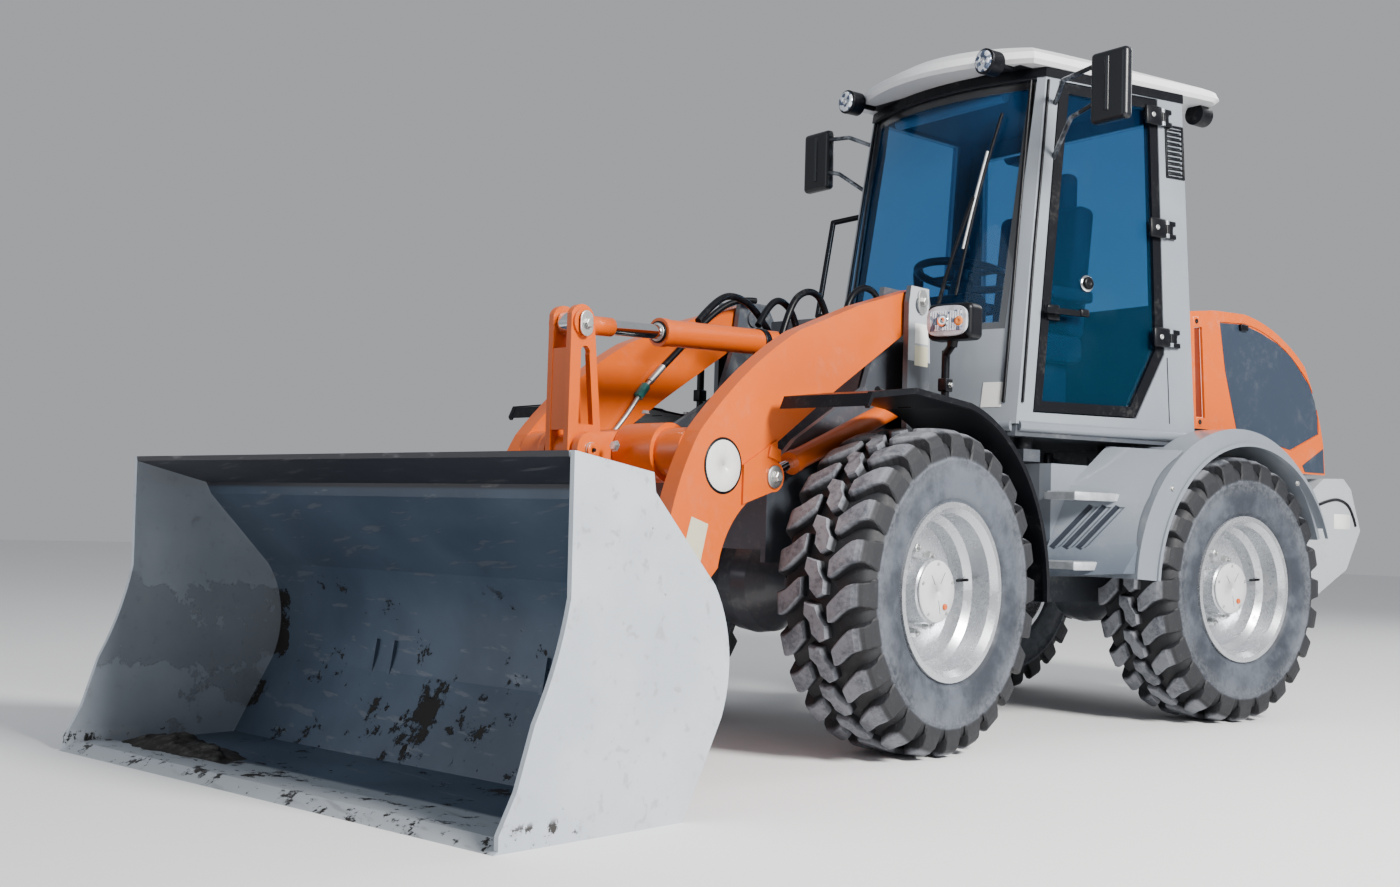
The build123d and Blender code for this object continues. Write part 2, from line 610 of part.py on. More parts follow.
def roof_lamps():
    """Round working lamps: two on stems at the roof's front edge, two under its rear corners."""
    z = CAB_TOP_Z - 6
    case = Pos(390, -80, z) * Rot(90, 0, 0) * Cylinder(48, 60)
    front = union(case, rod_between((390, -60, z), (390, 40, z), 12))
    rear = Pos(505, 1040, CAB_TOP_Z - 32) * Rot(90, 0, 0) * Cylinder(44, 70)
    stem = upright(505, 1030, 14, CAB_TOP_Z - 40, CAB_TOP_Z + 5)
    return both(union(front, rear, stem) - cab_roof() - cab_solid(CAB_TOP_Z - 120, CAB_TOP_Z, 0))


def seat():
    base = block(-180, 180, 330, 620, CAB_SILL_Z + 30, 1420)
    cushion = fillet(block(-240, 240, 290, 660, 1415, 1530).edges(), 30)
    back = fillet((Pos(0, 660, 1800) * Rot(-6, 0, 0) * Box(460, 100, 560)).edges(), 35)
    head = fillet((Pos(0, 702, 2150) * Box(270, 80, 170)).edges(), 30)
    posts = both(rod_between((60, 690, 2030), (60, 702, 2110), 9))
    return union(base, cushion, back, head, *posts.solids())


def steering():
    floor = CAB_SILL_Z + 30
    column = rod_between((0, 60, floor + 30), (0, 190, 1715), 45)
    column = union(column, block(-60, 60, 0, 120, floor, floor + 60))
    place = Plane(origin=(0, 200, 1756), x_dir=(1, 0, 0), z_dir=(0, 0.18, 1))
    wheel = union(Torus(190, 16), Pos(0, 0, -4) * Cylinder(40, 40), Box(376, 30, 12))
    return column, place * wheel


def mirror_arm(sign, x, y):
    """Rear-view mirror on two bent tubes from the front pillar; x, y is the mirror's place."""
    z = 2335
    upper = tube([(sign * 470, 185, 2350), (sign * 600, 90, 2415), (sign * x, y, z + 92)], MIRROR_TUBE)
    lower = tube([(sign * 480, 165, 2130), (sign * 650, 80, 2262), (sign * x, y, z - 40)], MIRROR_TUBE)
    post = upright(sign * x, y, MIRROR_POST, z - 90, z + 105)
    case = fillet((Pos(sign * (x + 4), y + 18, z) * Box(165, 46, 262)).edges(), 18)
    return union(upper, lower, post, case) - cab_solid(CAB_SILL_Z, CAB_TOP_Z, 0)


def handrail():
    rail = tube([(-500, 0, 1600), (-640, -30, 1625), (-640, 45, 2040), (-470, 140, 2070)], 12)
    return rail - cab_solid(CAB_SILL_Z, CAB_TOP_Z, 0)


# ---------------------------------------------------------------- hood
def hood_profile(y0, drop):
    """Side view of the hood in (y, z) from its front at y0, drawn in by drop at the top and rear."""
    top, tail = -drop, -0.8 * drop
    return [(y0, 1620 + top), (1000, 1640 + top), (1200, 1644 + top),
            ((1480 + 0.6 * tail, 1560 + 0.8 * tail), (1629 + 0.8 * tail, 1463 + 0.6 * tail)),
            ((1710 + tail, 1320 + 0.4 * tail), (1775 + 1.2 * tail, 1130))]


def hood():
    """Engine hood, open at its front and below, with hinge arms above its front edge."""
    t = HOOD_SKIN
    outer = plate(-HOOD_HALF, HOOD_HALF, *hood_profile(HOOD_FRONT_Y, 0), (1790, 1005), (HOOD_FRONT_Y, 1005))
    open_y = HOOD_FRONT_Y - 50
    inner = plate(t - HOOD_HALF, HOOD_HALF - t, *hood_profile(open_y, t), (1762, 900), (open_y, 900))
    body = outer - inner
    for x0, x1 in ((-700, -425), (425, 700)):
        body = body - across(MUDGUARD, MUDGUARD_RADIUS + 8, x0, x1)
    panel = plate(HOOD_HALF - 5, HOOD_HALF + 5, (1035, 1598), (1075, 1400), (1160, 1150), (1540, 1098),
                  (1738, 1178), ((1712, 1320), (1610, 1440)), ((1430, 1550), (1200, 1606)))
    recess = plate(HOOD_HALF - 12, HOOD_HALF + 5, (870, 1560), (920, 1566), (948, 1200), (890, 1196))
    y, z = HOOD_HINGE
    inner_x, outer_x = HOOD_HINGE_X
    notch = block(inner_x - 6, outer_x + 6, y - 30, y + 27, z - 60, z + 20)
    x0, x1 = inner_x + 16, outer_x - 16
    arm = union(block(x0, x1, y, y + 75, z - 22, z + 6), across(HOOD_HINGE, 13, x0, x1))
    arm = arm - block(inner_x, outer_x, y + 12, y + 27, z - 30, z - 8)
    for cut in (panel, recess, notch):
        body = body - cut - mirror(cut, Plane.YZ)
    body = union(body, arm, mirror(arm, Plane.YZ))
    return body - across(HOOD_HINGE, HOOD_PIN_RADIUS + RUNNING, -400, 400)


def tail_lamps():
    """Rear lamps that stand a little out of the counterweight's back."""
    return both(block(430, 590, 1950, 2068, 800, 880) - counterweight())


def build():
    wheels()
    save("front_axle", axle(FRONT_AXLE_Y, 1), front=True)
    save("rear_axle", axle(REAR_AXLE_Y, -1))
    save("front_frame", front_frame(), front=True)
    fender = front_fender()
    save("front_left_fender", fender, front=True)
    save("front_right_fender", mirror(fender, Plane.YZ), front=True)
    save("left_headlight", headlight(1), front=True)
    save("right_headlight", headlight(-1), front=True)
    save("lift_arms", arms(), front=True)
    save("rocker_lever", rocker(), front=True)
    save("tilt_link", tilt_link(), front=True)
    save("rocker_pin", across(ROCKER_PIVOT, 24, -92, 92), front=True)
    save("link_pin", across(LINK_EYE, 20, -52, 52), front=True)
    save("bucket_pins", both(across(BUCKET_PIVOT, 25, 326, 434)), front=True)
    centre = (ARM_IN + ARM_OUT) / 2
    barrel, rod = cylinder_pair(LIFT_BASE, LIFT_EYE, 22, 27, 18, 46, barrel_end=640, piston=85)
    for side, sign in (("left", 1), ("right", -1)):
        save(f"{side}_lift_cylinder_barrel", Pos(sign * centre, 0, 0) * barrel, front=True)
        save(f"{side}_lift_cylinder_rod", Pos(sign * centre, 0, 0) * rod, front=True)
    barrel, rod = cylinder_pair(TILT_BASE, ROCKER_TOP, 22, 36, 24, 52, barrel_end=860, piston=180)
    save("tilt_cylinder_barrel", barrel, front=True)
    save("tilt_cylinder_rod", rod, front=True)
    turn = Rot(0, 0, STEER)
    for side, sign in (("left", 1), ("right", -1)):
        base = Vector(sign * STEER_BASE[0], STEER_BASE[1], STEER_Z)
        eye = (turn * Pos(sign * STEER_EYE[0], STEER_EYE[1], STEER_Z)).position
        way = (eye - base).normalized()
        place = Plane(origin=base, x_dir=(0, 0, 1), z_dir=Vector(0, 0, 1).cross(way))
        reach = (eye - base).length
        barrel, rod = cylinder_pair((0, 0), (reach, 0), 18, 24, 15, 46, barrel_end=450, piston=reach - 435)
        save(f"{side}_steering_barrel", place * barrel)
        save(f"{side}_steering_rod", place * rod)
    save("bucket", bucket(), front=True)
    save("cutting_edge", cutting_edge(), front=True)
    save("rear_frame", rear_frame())
    save("cab_mounts", cab_mounts())
    save("counterweight", counterweight())
    save("engine", engine())
    for left, right, shape in (("rear_left_fender", "rear_right_fender", rear_fender()),
                               ("left_side_tank", "right_side_tank", side_tank()),
                               ("left_steps", "right_steps", steps())):
        save(left, shape)
        save(right, mirror(shape, Plane.YZ))
    save("cab_floor", cab_solid(1075, CAB_SILL_Z, 8))
    save("cab_frame", cab_frame())
    save("cab_door", door())
    save("cab_door_glass", door_glass())
    save("windscreen", pane(*WINDSCREEN))
    save("rear_window", pane(*REAR_WINDOW))
    save("right_window", mirror(door_panel(GLASS_DEPTH, GLASS_DEPTH + GLASS_THICK, 2), Plane.YZ))
    save("cab_roof", cab_roof())
    save("driver_seat", seat())
    column, wheel = steering()
    save("steering_column", column)
    save("steering_wheel", wheel)
    save("roof_lamps", roof_lamps())
    save("tail_lamps", tail_lamps())
    save("left_mirror", mirror_arm(1, 850, 40))
    save("right_mirror", mirror_arm(-1, 780, 60))
    save("right_handrail", handrail())
    save("engine_hood", hood())


build()
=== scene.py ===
"""Looks of the articulated wheel loader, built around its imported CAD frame.

Metres, the frame's own axes: the bucket is at -Y, the left side is +X, the ground is z = 0.
The front frame is parked turned about the articulation pins by STEER.
"""
import math

import bmesh
import bpy
from mathutils import Matrix, Vector, noise


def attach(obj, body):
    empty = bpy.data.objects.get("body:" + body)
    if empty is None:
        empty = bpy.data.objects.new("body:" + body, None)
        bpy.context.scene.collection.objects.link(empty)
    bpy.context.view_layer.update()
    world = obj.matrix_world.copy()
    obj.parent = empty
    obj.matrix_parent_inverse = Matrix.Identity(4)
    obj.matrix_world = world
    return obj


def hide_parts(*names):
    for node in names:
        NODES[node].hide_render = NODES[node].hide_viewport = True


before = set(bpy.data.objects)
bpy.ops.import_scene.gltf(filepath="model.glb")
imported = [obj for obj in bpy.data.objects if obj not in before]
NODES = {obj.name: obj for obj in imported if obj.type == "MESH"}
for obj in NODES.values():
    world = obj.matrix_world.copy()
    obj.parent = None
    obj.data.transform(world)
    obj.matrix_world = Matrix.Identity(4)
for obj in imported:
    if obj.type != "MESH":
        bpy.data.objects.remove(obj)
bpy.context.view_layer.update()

STEER = math.radians(11.9)
FRONT = Matrix.Rotation(STEER, 4, "Z")
WHEELBASE = 1.98
AXLE_Z = 0.523
WHEEL_X = 0.627
TYRE_RADIUS = 0.523
TREAD_HALF = 0.152

# The cab's shell: side walls that toe out and lean in, and a bowed front that leans back.
CAB_Z, CAB_TOP = 1.120, 2.500      # sill and top of the walls
CAB_REAR = 0.82
WALL_X, TOE_OUT, LEAN_IN = 0.549, 0.142, 0.061
CAB_FRONT, LEAN_BACK, BOW = -0.065, 0.195, 0.110


# ---------------------------------------------------------------- shader maths
class Value:
    """A number that changes over a surface. Arithmetic on it adds Math nodes."""

    def __init__(self, finish, socket):
        self.finish = finish
        self.socket = socket

    def maths(self, operation, *values):
        return self.finish.value("ShaderNodeMath", {"operation": operation}, dict(enumerate(values)))

    def __add__(self, other):
        return self.maths("ADD", self, other)

    __radd__ = __add__

    def __sub__(self, other):
        return self.maths("SUBTRACT", self, other)

    def __rsub__(self, other):
        return self.maths("SUBTRACT", other, self)

    def __mul__(self, other):
        return self.maths("MULTIPLY", self, other)

    __rmul__ = __mul__

    def __truediv__(self, other):
        return self.maths("DIVIDE", self, other)

    def __abs__(self):
        return self.maths("ABSOLUTE", self)

    def over(self, edge, soft):
        """0 below edge, 1 above edge + soft, and smooth between."""
        inputs = {"Value": self, "From Min": edge, "From Max": edge + soft}
        return self.finish.value("ShaderNodeMapRange", {"interpolation_type": "SMOOTHSTEP"}, inputs)

    def most(self, other):
        return self.maths("MAXIMUM", self, other)

    def least(self, other):
        return self.maths("MINIMUM", self, other)


class NodeTree:
    """A tree of nodes in the making."""

    def put(self, socket, given):
        """Links a socket to a value, or sets it to a number, colour or vector."""
        given = given.socket if isinstance(given, Value) else given
        if isinstance(given, bpy.types.NodeSocket):
            self.tree.links.new(given, socket)
        else:
            socket.default_value = given

    def node(self, kind, settings=None, inputs=None):
        """Adds a node: its settings come first, then the values or links of its sockets."""
        node = self.tree.nodes.new(kind)
        for key, setting in (settings or {}).items():
            setattr(node, key, setting)
        for key, given in (inputs or {}).items():
            self.put(node.inputs[key], given)
        return node


class Finish(NodeTree):
    """A node material in the making, on Object coordinates."""

    def __init__(self, name):
        self.material = bpy.data.materials.new(name)
        self.material.use_nodes = True
        self.tree = self.material.node_tree
        self.shader = self.tree.nodes["Principled BSDF"]
        self.place = self.node("ShaderNodeTexCoord").outputs["Object"]

    def value(self, kind, settings=None, inputs=None, output=0):
        return Value(self, self.node(kind, settings, inputs).outputs[output])

    def axis(self, name):
        return self.value("ShaderNodeSeparateXYZ", None, {0: self.place}, name)

    def noise(self, scale, detail=4, rough=0.55, stretch=(1, 1, 1), shift=(0, 0, 0)):
        placing = {"Vector": self.place, "Scale": stretch, "Location": shift}
        mapped = self.node("ShaderNodeMapping", None, placing)
        inputs = {"Vector": mapped.outputs[0], "Scale": scale, "Detail": detail, "Roughness": rough}
        return self.value("ShaderNodeTexNoise", None, inputs)

    def attribute(self, name):
        return self.value("ShaderNodeAttribute", {"attribute_name": name}, None, "Fac")

    def cells(self, scale, output="Distance"):
        return self.value("ShaderNodeTexVoronoi", None, {"Vector": self.place, "Scale": scale}, output)

    def dust(self, share):
        """Film of dust in patches broken up by specks, at most share thick."""
        return (self.noise(6, 6, 0.65) * self.noise(38, 6, 0.7)).over(0.24, 0.22) * share

    def mix(self, amount, low, high):
        """Colour between low and high."""
        mixer = self.node("ShaderNodeMix", {"data_type": "RGBA"}, {0: amount, 6: low, 7: high})
        return mixer.outputs[2]

    def bump(self, height, strength, distance, below=None):
        """Normal raised by height, over another normal if one is given."""
        inputs = {"Height": height, "Strength": strength, "Distance": distance}
        if below is not None:
            inputs["Normal"] = below
        return self.node("ShaderNodeBump", None, inputs).outputs[0]

    def orange_peel(self, strength=0.05, distance=0.0006):
        """Fine ripple of sprayed paint."""
        return self.bump(self.noise(420, 2), strength, distance)

    def see_through(self, share, colour):
        """Lets a share of the light straight through, coloured by the glass."""
        clear = self.node("ShaderNodeBsdfTransparent", None, {"Color": colour})
        parts = {0: share, 1: self.shader.outputs[0], 2: clear.outputs[0]}
        both = self.node("ShaderNodeMixShader", None, parts)
        self.put(self.tree.nodes["Material Output"].inputs["Surface"], both.outputs[0])

    def done(self, **sockets):
        """Sets the shader's sockets, base_color=... and so on, and returns the material."""
        for key, given in sockets.items():
            name = key.replace("_", " ").title().replace("Ior", "IOR")
            self.put(self.shader.inputs[name], given)
        return self.material


def rgb(red, green, blue):
    return (red, green, blue, 1.0)


def darker(colour, share):
    """A colour brought down to a share of its brightness."""
    return rgb(*[c * share for c in colour[:3]])


DUST = rgb(0.30, 0.29, 0.27)
MUD = rgb(0.018, 0.015, 0.013)
LINING = rgb(0.006, 0.007, 0.010)
BARE_STEEL = rgb(0.33, 0.33, 0.34)
ORANGE_TONE = rgb(0.66, 0.105, 0.001)
CAB_TONE = rgb(0.215, 0.24, 0.275)
GLASS_TINT = rgb(0.60, 0.83, 1.0)


# ---------------------------------------------------------------- finishes
def enamel(name, colour, dust, rough=0.32, coat=0.35):
    """Sprayed machine paint with orange peel, faint fading and dust."""
    f = Finish(name)
    fade = f.noise(2.3, 3)
    film = f.dust(dust)
    tone = f.mix(fade.over(0.3, 0.5) * 0.25, colour, darker(colour, 0.72))
    return f.done(base_color=f.mix(film, tone, DUST), roughness=film * 0.45 + fade * 0.08 + rough,
                  coat_weight=coat - film * coat, coat_roughness=0.12, normal=f.orange_peel())


BUCKET_INSIDE = 0.948           # inner face of a bucket side
BUCKET_RIGHT = -0.97            # outer face of the bucket's right side
BUCKET_TOP = 0.785              # foot of the upright strip along the bucket's upper edge


def bucket_steel():
    """Grey enamel with scratches and mud where loads have slid. The inside is darker, as painted shade, and
    darkest along its upper edge. Inside, the lip is lighter, as painted light, with dark wear marks.
    """
    f = Finish("bucket_paint_worn_and_painted_shade")
    x = f.axis("X") * math.cos(STEER) + f.axis("Y") * math.sin(STEER)
    y = f.axis("Y") * math.cos(STEER) - f.axis("X") * math.sin(STEER)
    z = f.axis("Z")
    from_right = x - BUCKET_RIGHT
    inside = 1 - abs(x).over(BUCKET_INSIDE, 0.008)
    # lip: front strip of the floor. Inside the bucket it is painted lighter as painted light, and it carries
    # dark wear marks.
    lip = (1 - z.over(0.045, 0.02)) * (1 - y.over(-2.80, 0.03))
    fade = f.noise(1.7, 5, 0.6)
    fine = f.noise(19, 8, 0.75)
    scratch = f.noise(30, 3, 0.6, stretch=(0.12, 1, 1)).over(0.60, 0.08)
    heap = 1 - (abs(x + 0.10) * 0.9 + abs(z - 0.12) * 2.2).over(0.05, 0.42)
    corner = (1 - abs(z - 0.36).over(0.09, 0.06)) * (1 - from_right.over(0.06, 0.05))
    slide = (1 - abs(z - 0.27 - (y + 2.60) * -0.62).over(0.03, 0.11)) * (1 - from_right.over(0.05, 0.02))
    patches = f.noise(6, 4, 0.6, shift=(0.7, 0.2, 0.4))
    cling = fine * 0.62 + patches * 0.42 + heap * 0.075 + corner * 0.15 + slide * 0.115
    mud = cling.over(0.610, 0.012) * inside * (1 - z.over(0.48, 0.06))
    chips = (f.noise(9, 8, 0.7) * f.noise(41, 4, 0.6)).over(0.42, 0.03)
    worn_lip = (f.noise(13, 8, 0.72, shift=(0.3, 0, 0)) * 0.7 + fine * 0.3).over(0.545, 0.03) * lip
    outer = f.mix(fade.over(0.35, 0.35), rgb(0.40, 0.44, 0.49), rgb(0.50, 0.54, 0.59))
    # The inside is painted shade: a darker copy of the outer grey.
    shaded = f.mix(fade.over(0.35, 0.35), rgb(0.050, 0.072, 0.108), rgb(0.085, 0.118, 0.165))
    # Darker still along the upright strip under the upper edge, as painted shade.
    shaded = f.mix(z.over(BUCKET_TOP, 0.012), shaded, rgb(0.026, 0.026, 0.032))
    # The lip inside gets a lighter grey, as painted light falling on the front of the floor.
    tone = f.mix(inside, outer, f.mix(lip, shaded, rgb(0.36, 0.39, 0.42)))
    worn = f.mix(scratch * 0.28, tone, BARE_STEEL)
    base = f.mix(mud.most(chips).most(worn_lip), worn, MUD)
    return f.done(base_color=base, roughness=mud * 0.4 + fade * 0.25 + 0.30, metallic=scratch * 0.3,
                  normal=f.bump(mud, 0.8, 0.006, f.bump(f.noise(260, 3), 0.08, 0.001)))


def hood_enamel():
    """Orange on the hood's sides and white over its top."""
    f = Finish("hood_enamel")
    side = abs(f.axis("X")).over(0.606, 0.004)
    film = f.dust(0.25)
    tone = f.mix(side, rgb(0.80, 0.80, 0.80), ORANGE_TONE)
    return f.done(base_color=f.mix(film, tone, DUST), roughness=film * 0.4 + 0.3,
                  coat_weight=0.35 - film * 0.35, coat_roughness=0.12, normal=f.orange_peel())


def cab_enamel():
    """Grey outside and black lining inside: what lies deeper than the wall's skin is lining."""
    f = Finish("cab_enamel_and_lining")
    x, y, z = abs(f.axis("X")), f.axis("Y"), f.axis("Z")
    wall_depth = y * TOE_OUT - (z - CAB_Z) * LEAN_IN + WALL_X - x
    bow = x * x * -0.36 + BOW
    front_depth = y - (z - CAB_Z) * (LEAN_BACK / (CAB_TOP - CAB_Z)) - CAB_FRONT + bow
    rear_depth = CAB_REAR - y
    header = z.over(2.428, 0.004) * (1 - x.over(0.452, 0.004))
    deep = wall_depth.over(0.030, 0.004).least(front_depth.over(0.034, 0.004))
    deep = deep.least(rear_depth.over(0.030, 0.004)).most(header)
    film = f.dust(0.18)
    fade = f.noise(2.3, 3).over(0.3, 0.5)
    outer = f.mix(film, f.mix(fade, CAB_TONE, rgb(0.27, 0.295, 0.33)), DUST)
    return f.done(base_color=f.mix(deep, outer, LINING), roughness=deep * 0.25 + film * 0.4 + 0.32,
                  coat_weight=0.35 - deep * 0.35, coat_roughness=0.12, normal=f.orange_peel())


GROOVE_FOOT = (0.106, 0.668)    # lower end of the tank's first groove, in (y, z)
GROOVE_SLANT = (0.668, 0.744)   # direction of the grooves, in (y, z)
GROOVE_PITCH = 0.0246
GROOVE_STAGGER = 0.022          # each groove starts and ends this much further up
GROOVE_LENGTH = 0.212


def tank_moulding():
    """Grey like the mudguard, lighter at the top and darker low down as painted light and shade, and
    near-black blue in its three slanting grooves as painted shade.
    """
    f = Finish("tank_moulding_finish")
    y, z = f.axis("Y") - GROOVE_FOOT[0], f.axis("Z") - GROOVE_FOOT[1]
    aside = y * GROOVE_SLANT[1] - z * GROOVE_SLANT[0]
    along = y * GROOVE_SLANT[0] + z * GROOVE_SLANT[1]
    grooves = []
    for k in range(3):
        # Masks of the three grooves, where near-black blue is painted as painted shade in the recess.
        line = 1 - abs(aside - GROOVE_PITCH * k).over(0.0075, 0.002)
        up = along - GROOVE_STAGGER * k
        grooves.append(line * up.over(-0.004, 0.003) * (1 - up.over(GROOVE_LENGTH, 0.003)))
    groove = grooves[0].most(grooves[1]).most(grooves[2])
    film = f.dust(0.15)
    # Darker low down and lighter towards the top, as painted light and shade.
    tone = f.mix(f.axis("Z").over(0.56, 0.42), rgb(0.085, 0.105, 0.135), CAB_TONE)
    base = f.mix(groove, f.mix(film, tone, DUST), rgb(0.008, 0.012, 0.022))
    return f.done(base_color=base, roughness=film * 0.4 + 0.28, coat_weight=0.5, coat_roughness=0.1,
                  normal=f.orange_peel(0.04, 0.0005))


def roof_moulding():
    """White roof, black on its underside."""
    f = Finish("roof_moulding_finish")
    x, y, z = abs(f.axis("X")), f.axis("Y"), f.axis("Z")
    lengthwise = y.over(0.03, 0.01) * (1 - y.over(0.74, 0.01))
    headliner = (1 - x.over(0.43, 0.01)) * lengthwise * (1 - z.over(2.535, 0.01))
    under = headliner.most(1 - z.over(2.4985, 0.002))
    film = f.dust(0.1)
    base = f.mix(under, f.mix(film, rgb(0.80, 0.81, 0.83), DUST), LINING)
    return f.done(base_color=base, roughness=under * 0.2 + film * 0.4 + 0.36,
                  normal=f.bump(f.cells(700), 0.08, 0.0004))


def mirror_finish():
    """Black mirror case on dark tubes with lighter patches of painted reflection."""
    f = Finish("mirror_case_and_tubes")
    case = abs(f.axis("X")).over(0.695, 0.01)
    # Lighter patches on the tubes are painted reflection.
    painted_sheen = f.noise(22, 4, 0.6).over(0.45, 0.2)
    tube = f.mix(painted_sheen, rgb(0.05, 0.055, 0.065), rgb(0.28, 0.30, 0.33))
    return f.done(base_color=f.mix(case, tube, rgb(0.004, 0.005, 0.008)), metallic=0.6 - case * 0.6,
                  roughness=case * 0.05 + 0.30, normal=f.bump(f.cells(900), 0.1, 0.0004))


def screen_glass():
    """Windscreen: tinted glass with a printed black border and a deep band along its top."""
    f = Finish("windscreen_glass")
    height = f.axis("Z")
    side = abs(f.axis("X")).over(0.415, 0.006)
    edge = side.most(height.over(2.415, 0.006)).most(1 - height.over(1.505, 0.006))
    film = f.noise(4, 6, 0.7).over(0.5, 0.3)
    tint = f.mix(film * 0.08, rgb(0.003, 0.045, 0.125), DUST)
    f.see_through((1 - edge) * (0.90 - height.over(2.05, 0.35) * 0.16), GLASS_TINT)
    base = f.mix(edge, tint, rgb(0.004, 0.004, 0.005))
    return f.done(base_color=base, roughness=film * 0.08 + edge * 0.25 + 0.03,
                  coat_weight=0.5, coat_roughness=0.02, specular_ior_level=0.8)


def tyre_rubber():
    """Rubber by its distance from the axle: pale scuffed lug tops, near-black grooves, a clouded sidewall."""
    f = Finish("tyre_rubber_dusty")
    radius = f.attribute("axle_distance")
    top = radius.over(0.500, 0.014)
    side = 1 - radius.over(0.424, 0.010)
    cloud = f.noise(3.5, 6, 0.68)
    speck = f.noise(70, 5, 0.7)
    scuff = (f.noise(9, 6, 0.7) * 0.7 + speck * 0.4).over(0.40, 0.22)
    crown = f.mix(scuff, rgb(0.065, 0.072, 0.088), rgb(0.19, 0.20, 0.225))
    wall = f.mix(cloud.over(0.38, 0.26), rgb(0.020, 0.025, 0.036), rgb(0.085, 0.098, 0.122))
    bead = radius.over(0.350, 0.070) * side * speck.over(0.35, 0.3) * 0.5
    wall = f.mix(bead, wall, rgb(0.14, 0.15, 0.17))
    groove = f.mix(speck.over(0.55, 0.2) * 0.5, rgb(0.010, 0.011, 0.014), rgb(0.055, 0.058, 0.066))
    base = f.mix(side, f.mix(top, groove, crown), wall)
    return f.done(base_color=base, roughness=scuff * 0.15 + 0.55,
                  normal=f.bump(f.noise(300, 3), 0.12, 0.0008))


def rim_paint():
    """Silver wheel enamel, dulled with road film."""
    f = Finish("rim_silver")
    film = (f.noise(5, 6, 0.68) * f.noise(44, 5, 0.7)).over(0.25, 0.2)
    base = f.mix(film * 0.5, rgb(0.56, 0.58, 0.61), rgb(0.22, 0.21, 0.20))
    return f.done(base_color=base, metallic=0.75 - film * 0.5, roughness=film * 0.3 + 0.27,
                  normal=f.bump(f.noise(350, 2), 0.05, 0.0006))


def metal(name, colour, rough, blotch, metallic=1.0):
    """Bare or plated metal, duller and darker in faint blotches."""
    f = Finish(name)
    cloud = f.noise(22, 5, 0.6)
    base = f.mix(cloud.over(0.35, 0.3) * blotch * 3, colour, darker(colour, 0.6))
    return f.done(base_color=base, metallic=metallic, roughness=cloud * blotch + rough,
                  normal=f.bump(f.noise(180, 3), 0.06, 0.0006))


def moulded(name, colour, rough, grain=900):
    """Moulded plastic with a fine leather grain and a little dust."""
    f = Finish(name)
    film = (f.noise(7, 5, 0.6) * f.noise(60, 4, 0.7)).over(0.27, 0.16) * 0.07
    return f.done(base_color=f.mix(film, colour, DUST), roughness=film * 0.3 + rough,
                  normal=f.bump(f.cells(grain), 0.15, 0.0004), specular_ior_level=0.2)


def faceted_lens():
    """Clear ribbed cover over a reflector whose facets are painted light and dark, as painted reflections."""
    f = Finish("clear_lens")
    # Light and dark facets are painted reflections in the base colour.
    facet_glints = f.cells(62, "Color").over(0.40, 0.12)
    base = f.mix(facet_glints, rgb(0.07, 0.10, 0.17), rgb(0.78, 0.83, 0.90))
    return f.done(base_color=base, roughness=0.10, metallic=0.3, coat_weight=0.6)


def tinted_glass():
    """Blue-tinted safety glass with a trace of dust."""
    f = Finish("tinted_glass")
    film = f.noise(4, 6, 0.7).over(0.5, 0.3)
    tint = f.mix(f.axis("Z").over(1.3, 1.1), rgb(0.004, 0.070, 0.125), rgb(0.002, 0.030, 0.085))
    f.see_through(0.86 - film * 0.04, GLASS_TINT)
    return f.done(base_color=f.mix(film * 0.08, tint, DUST), roughness=film * 0.1 + 0.03,
                  coat_weight=0.5, coat_roughness=0.02, specular_ior_level=0.8)


ORANGE = enamel("orange_enamel", ORANGE_TONE, dust=0.10)
HOOD_PAINT = hood_enamel()
SCREEN = screen_glass()
PANEL_BLUE = enamel("side_panel_enamel", rgb(0.022, 0.035, 0.058), dust=0.12)
# Dark orange for the hood's recess: painted shade.
RECESS_SHADE_ORANGE = enamel("recess_painted_shade", rgb(0.17, 0.018, 0.001), dust=0.1)
DRIED_MUD = enamel("dried_mud", MUD, dust=0.3, rough=0.85, coat=0.0)
TEAL = enamel("teal_fitting", rgb(0.02, 0.22, 0.20), dust=0.2)
FRAME_GREY = enamel("frame_enamel", rgb(0.060, 0.068, 0.082), dust=0.35)
CAB_GREY = enamel("grey_enamel", rgb(0.20, 0.225, 0.26), dust=0.15, rough=0.26, coat=0.6)
CAB_SKIN = cab_enamel()
TANK = tank_moulding()
PALE_GREY = enamel("pale_enamel", rgb(0.40, 0.43, 0.46), dust=0.3)
BUCKET = bucket_steel()
RUBBER = tyre_rubber()
RIM_GREY = rim_paint()
REFLECTOR = metal("lamp_reflector", rgb(0.62, 0.66, 0.72), 0.25, 0.3, 0.3)
CHROME = metal("chrome_plate", rgb(0.80, 0.81, 0.83), 0.08, 0.05)
ZINC = metal("zinc_plate", rgb(0.62, 0.63, 0.62), 0.35, 0.2)
GALVANISED = metal("galvanised_steel", rgb(0.50, 0.53, 0.57), 0.45, 0.2, 0.35)
BLACK = moulded("black_moulding", rgb(0.0035, 0.004, 0.006), 0.36)
SEAT_CLOTH = moulded("seat_cloth", rgb(0.012, 0.016, 0.024), 0.9, 1600)
ROOF_WHITE = roof_moulding()
MIRROR_CASE = mirror_finish()
ENGINE_IRON = enamel("engine_iron", rgb(0.05, 0.055, 0.06), dust=0.7, rough=0.6)
GLASS = tinted_glass()
PALE_HUB = enamel("hub_enamel", rgb(0.62, 0.63, 0.65), dust=0.35)
WHITE = enamel("white_sign", rgb(0.80, 0.80, 0.78), dust=0.2)
CREAM = enamel("cream_label", rgb(0.62, 0.58, 0.42), dust=0.2)
LENS = faceted_lens()
AMBER = Finish("amber_lens").done(base_color=rgb(0.8, 0.22, 0.02), roughness=0.12, coat_weight=0.4)
RED = Finish("red_lens").done(base_color=rgb(0.45, 0.01, 0.01), roughness=0.12, coat_weight=0.4)
MIRROR = Finish("mirror_glass").done(base_color=rgb(0.7, 0.75, 0.8), metallic=1.0, roughness=0.03)

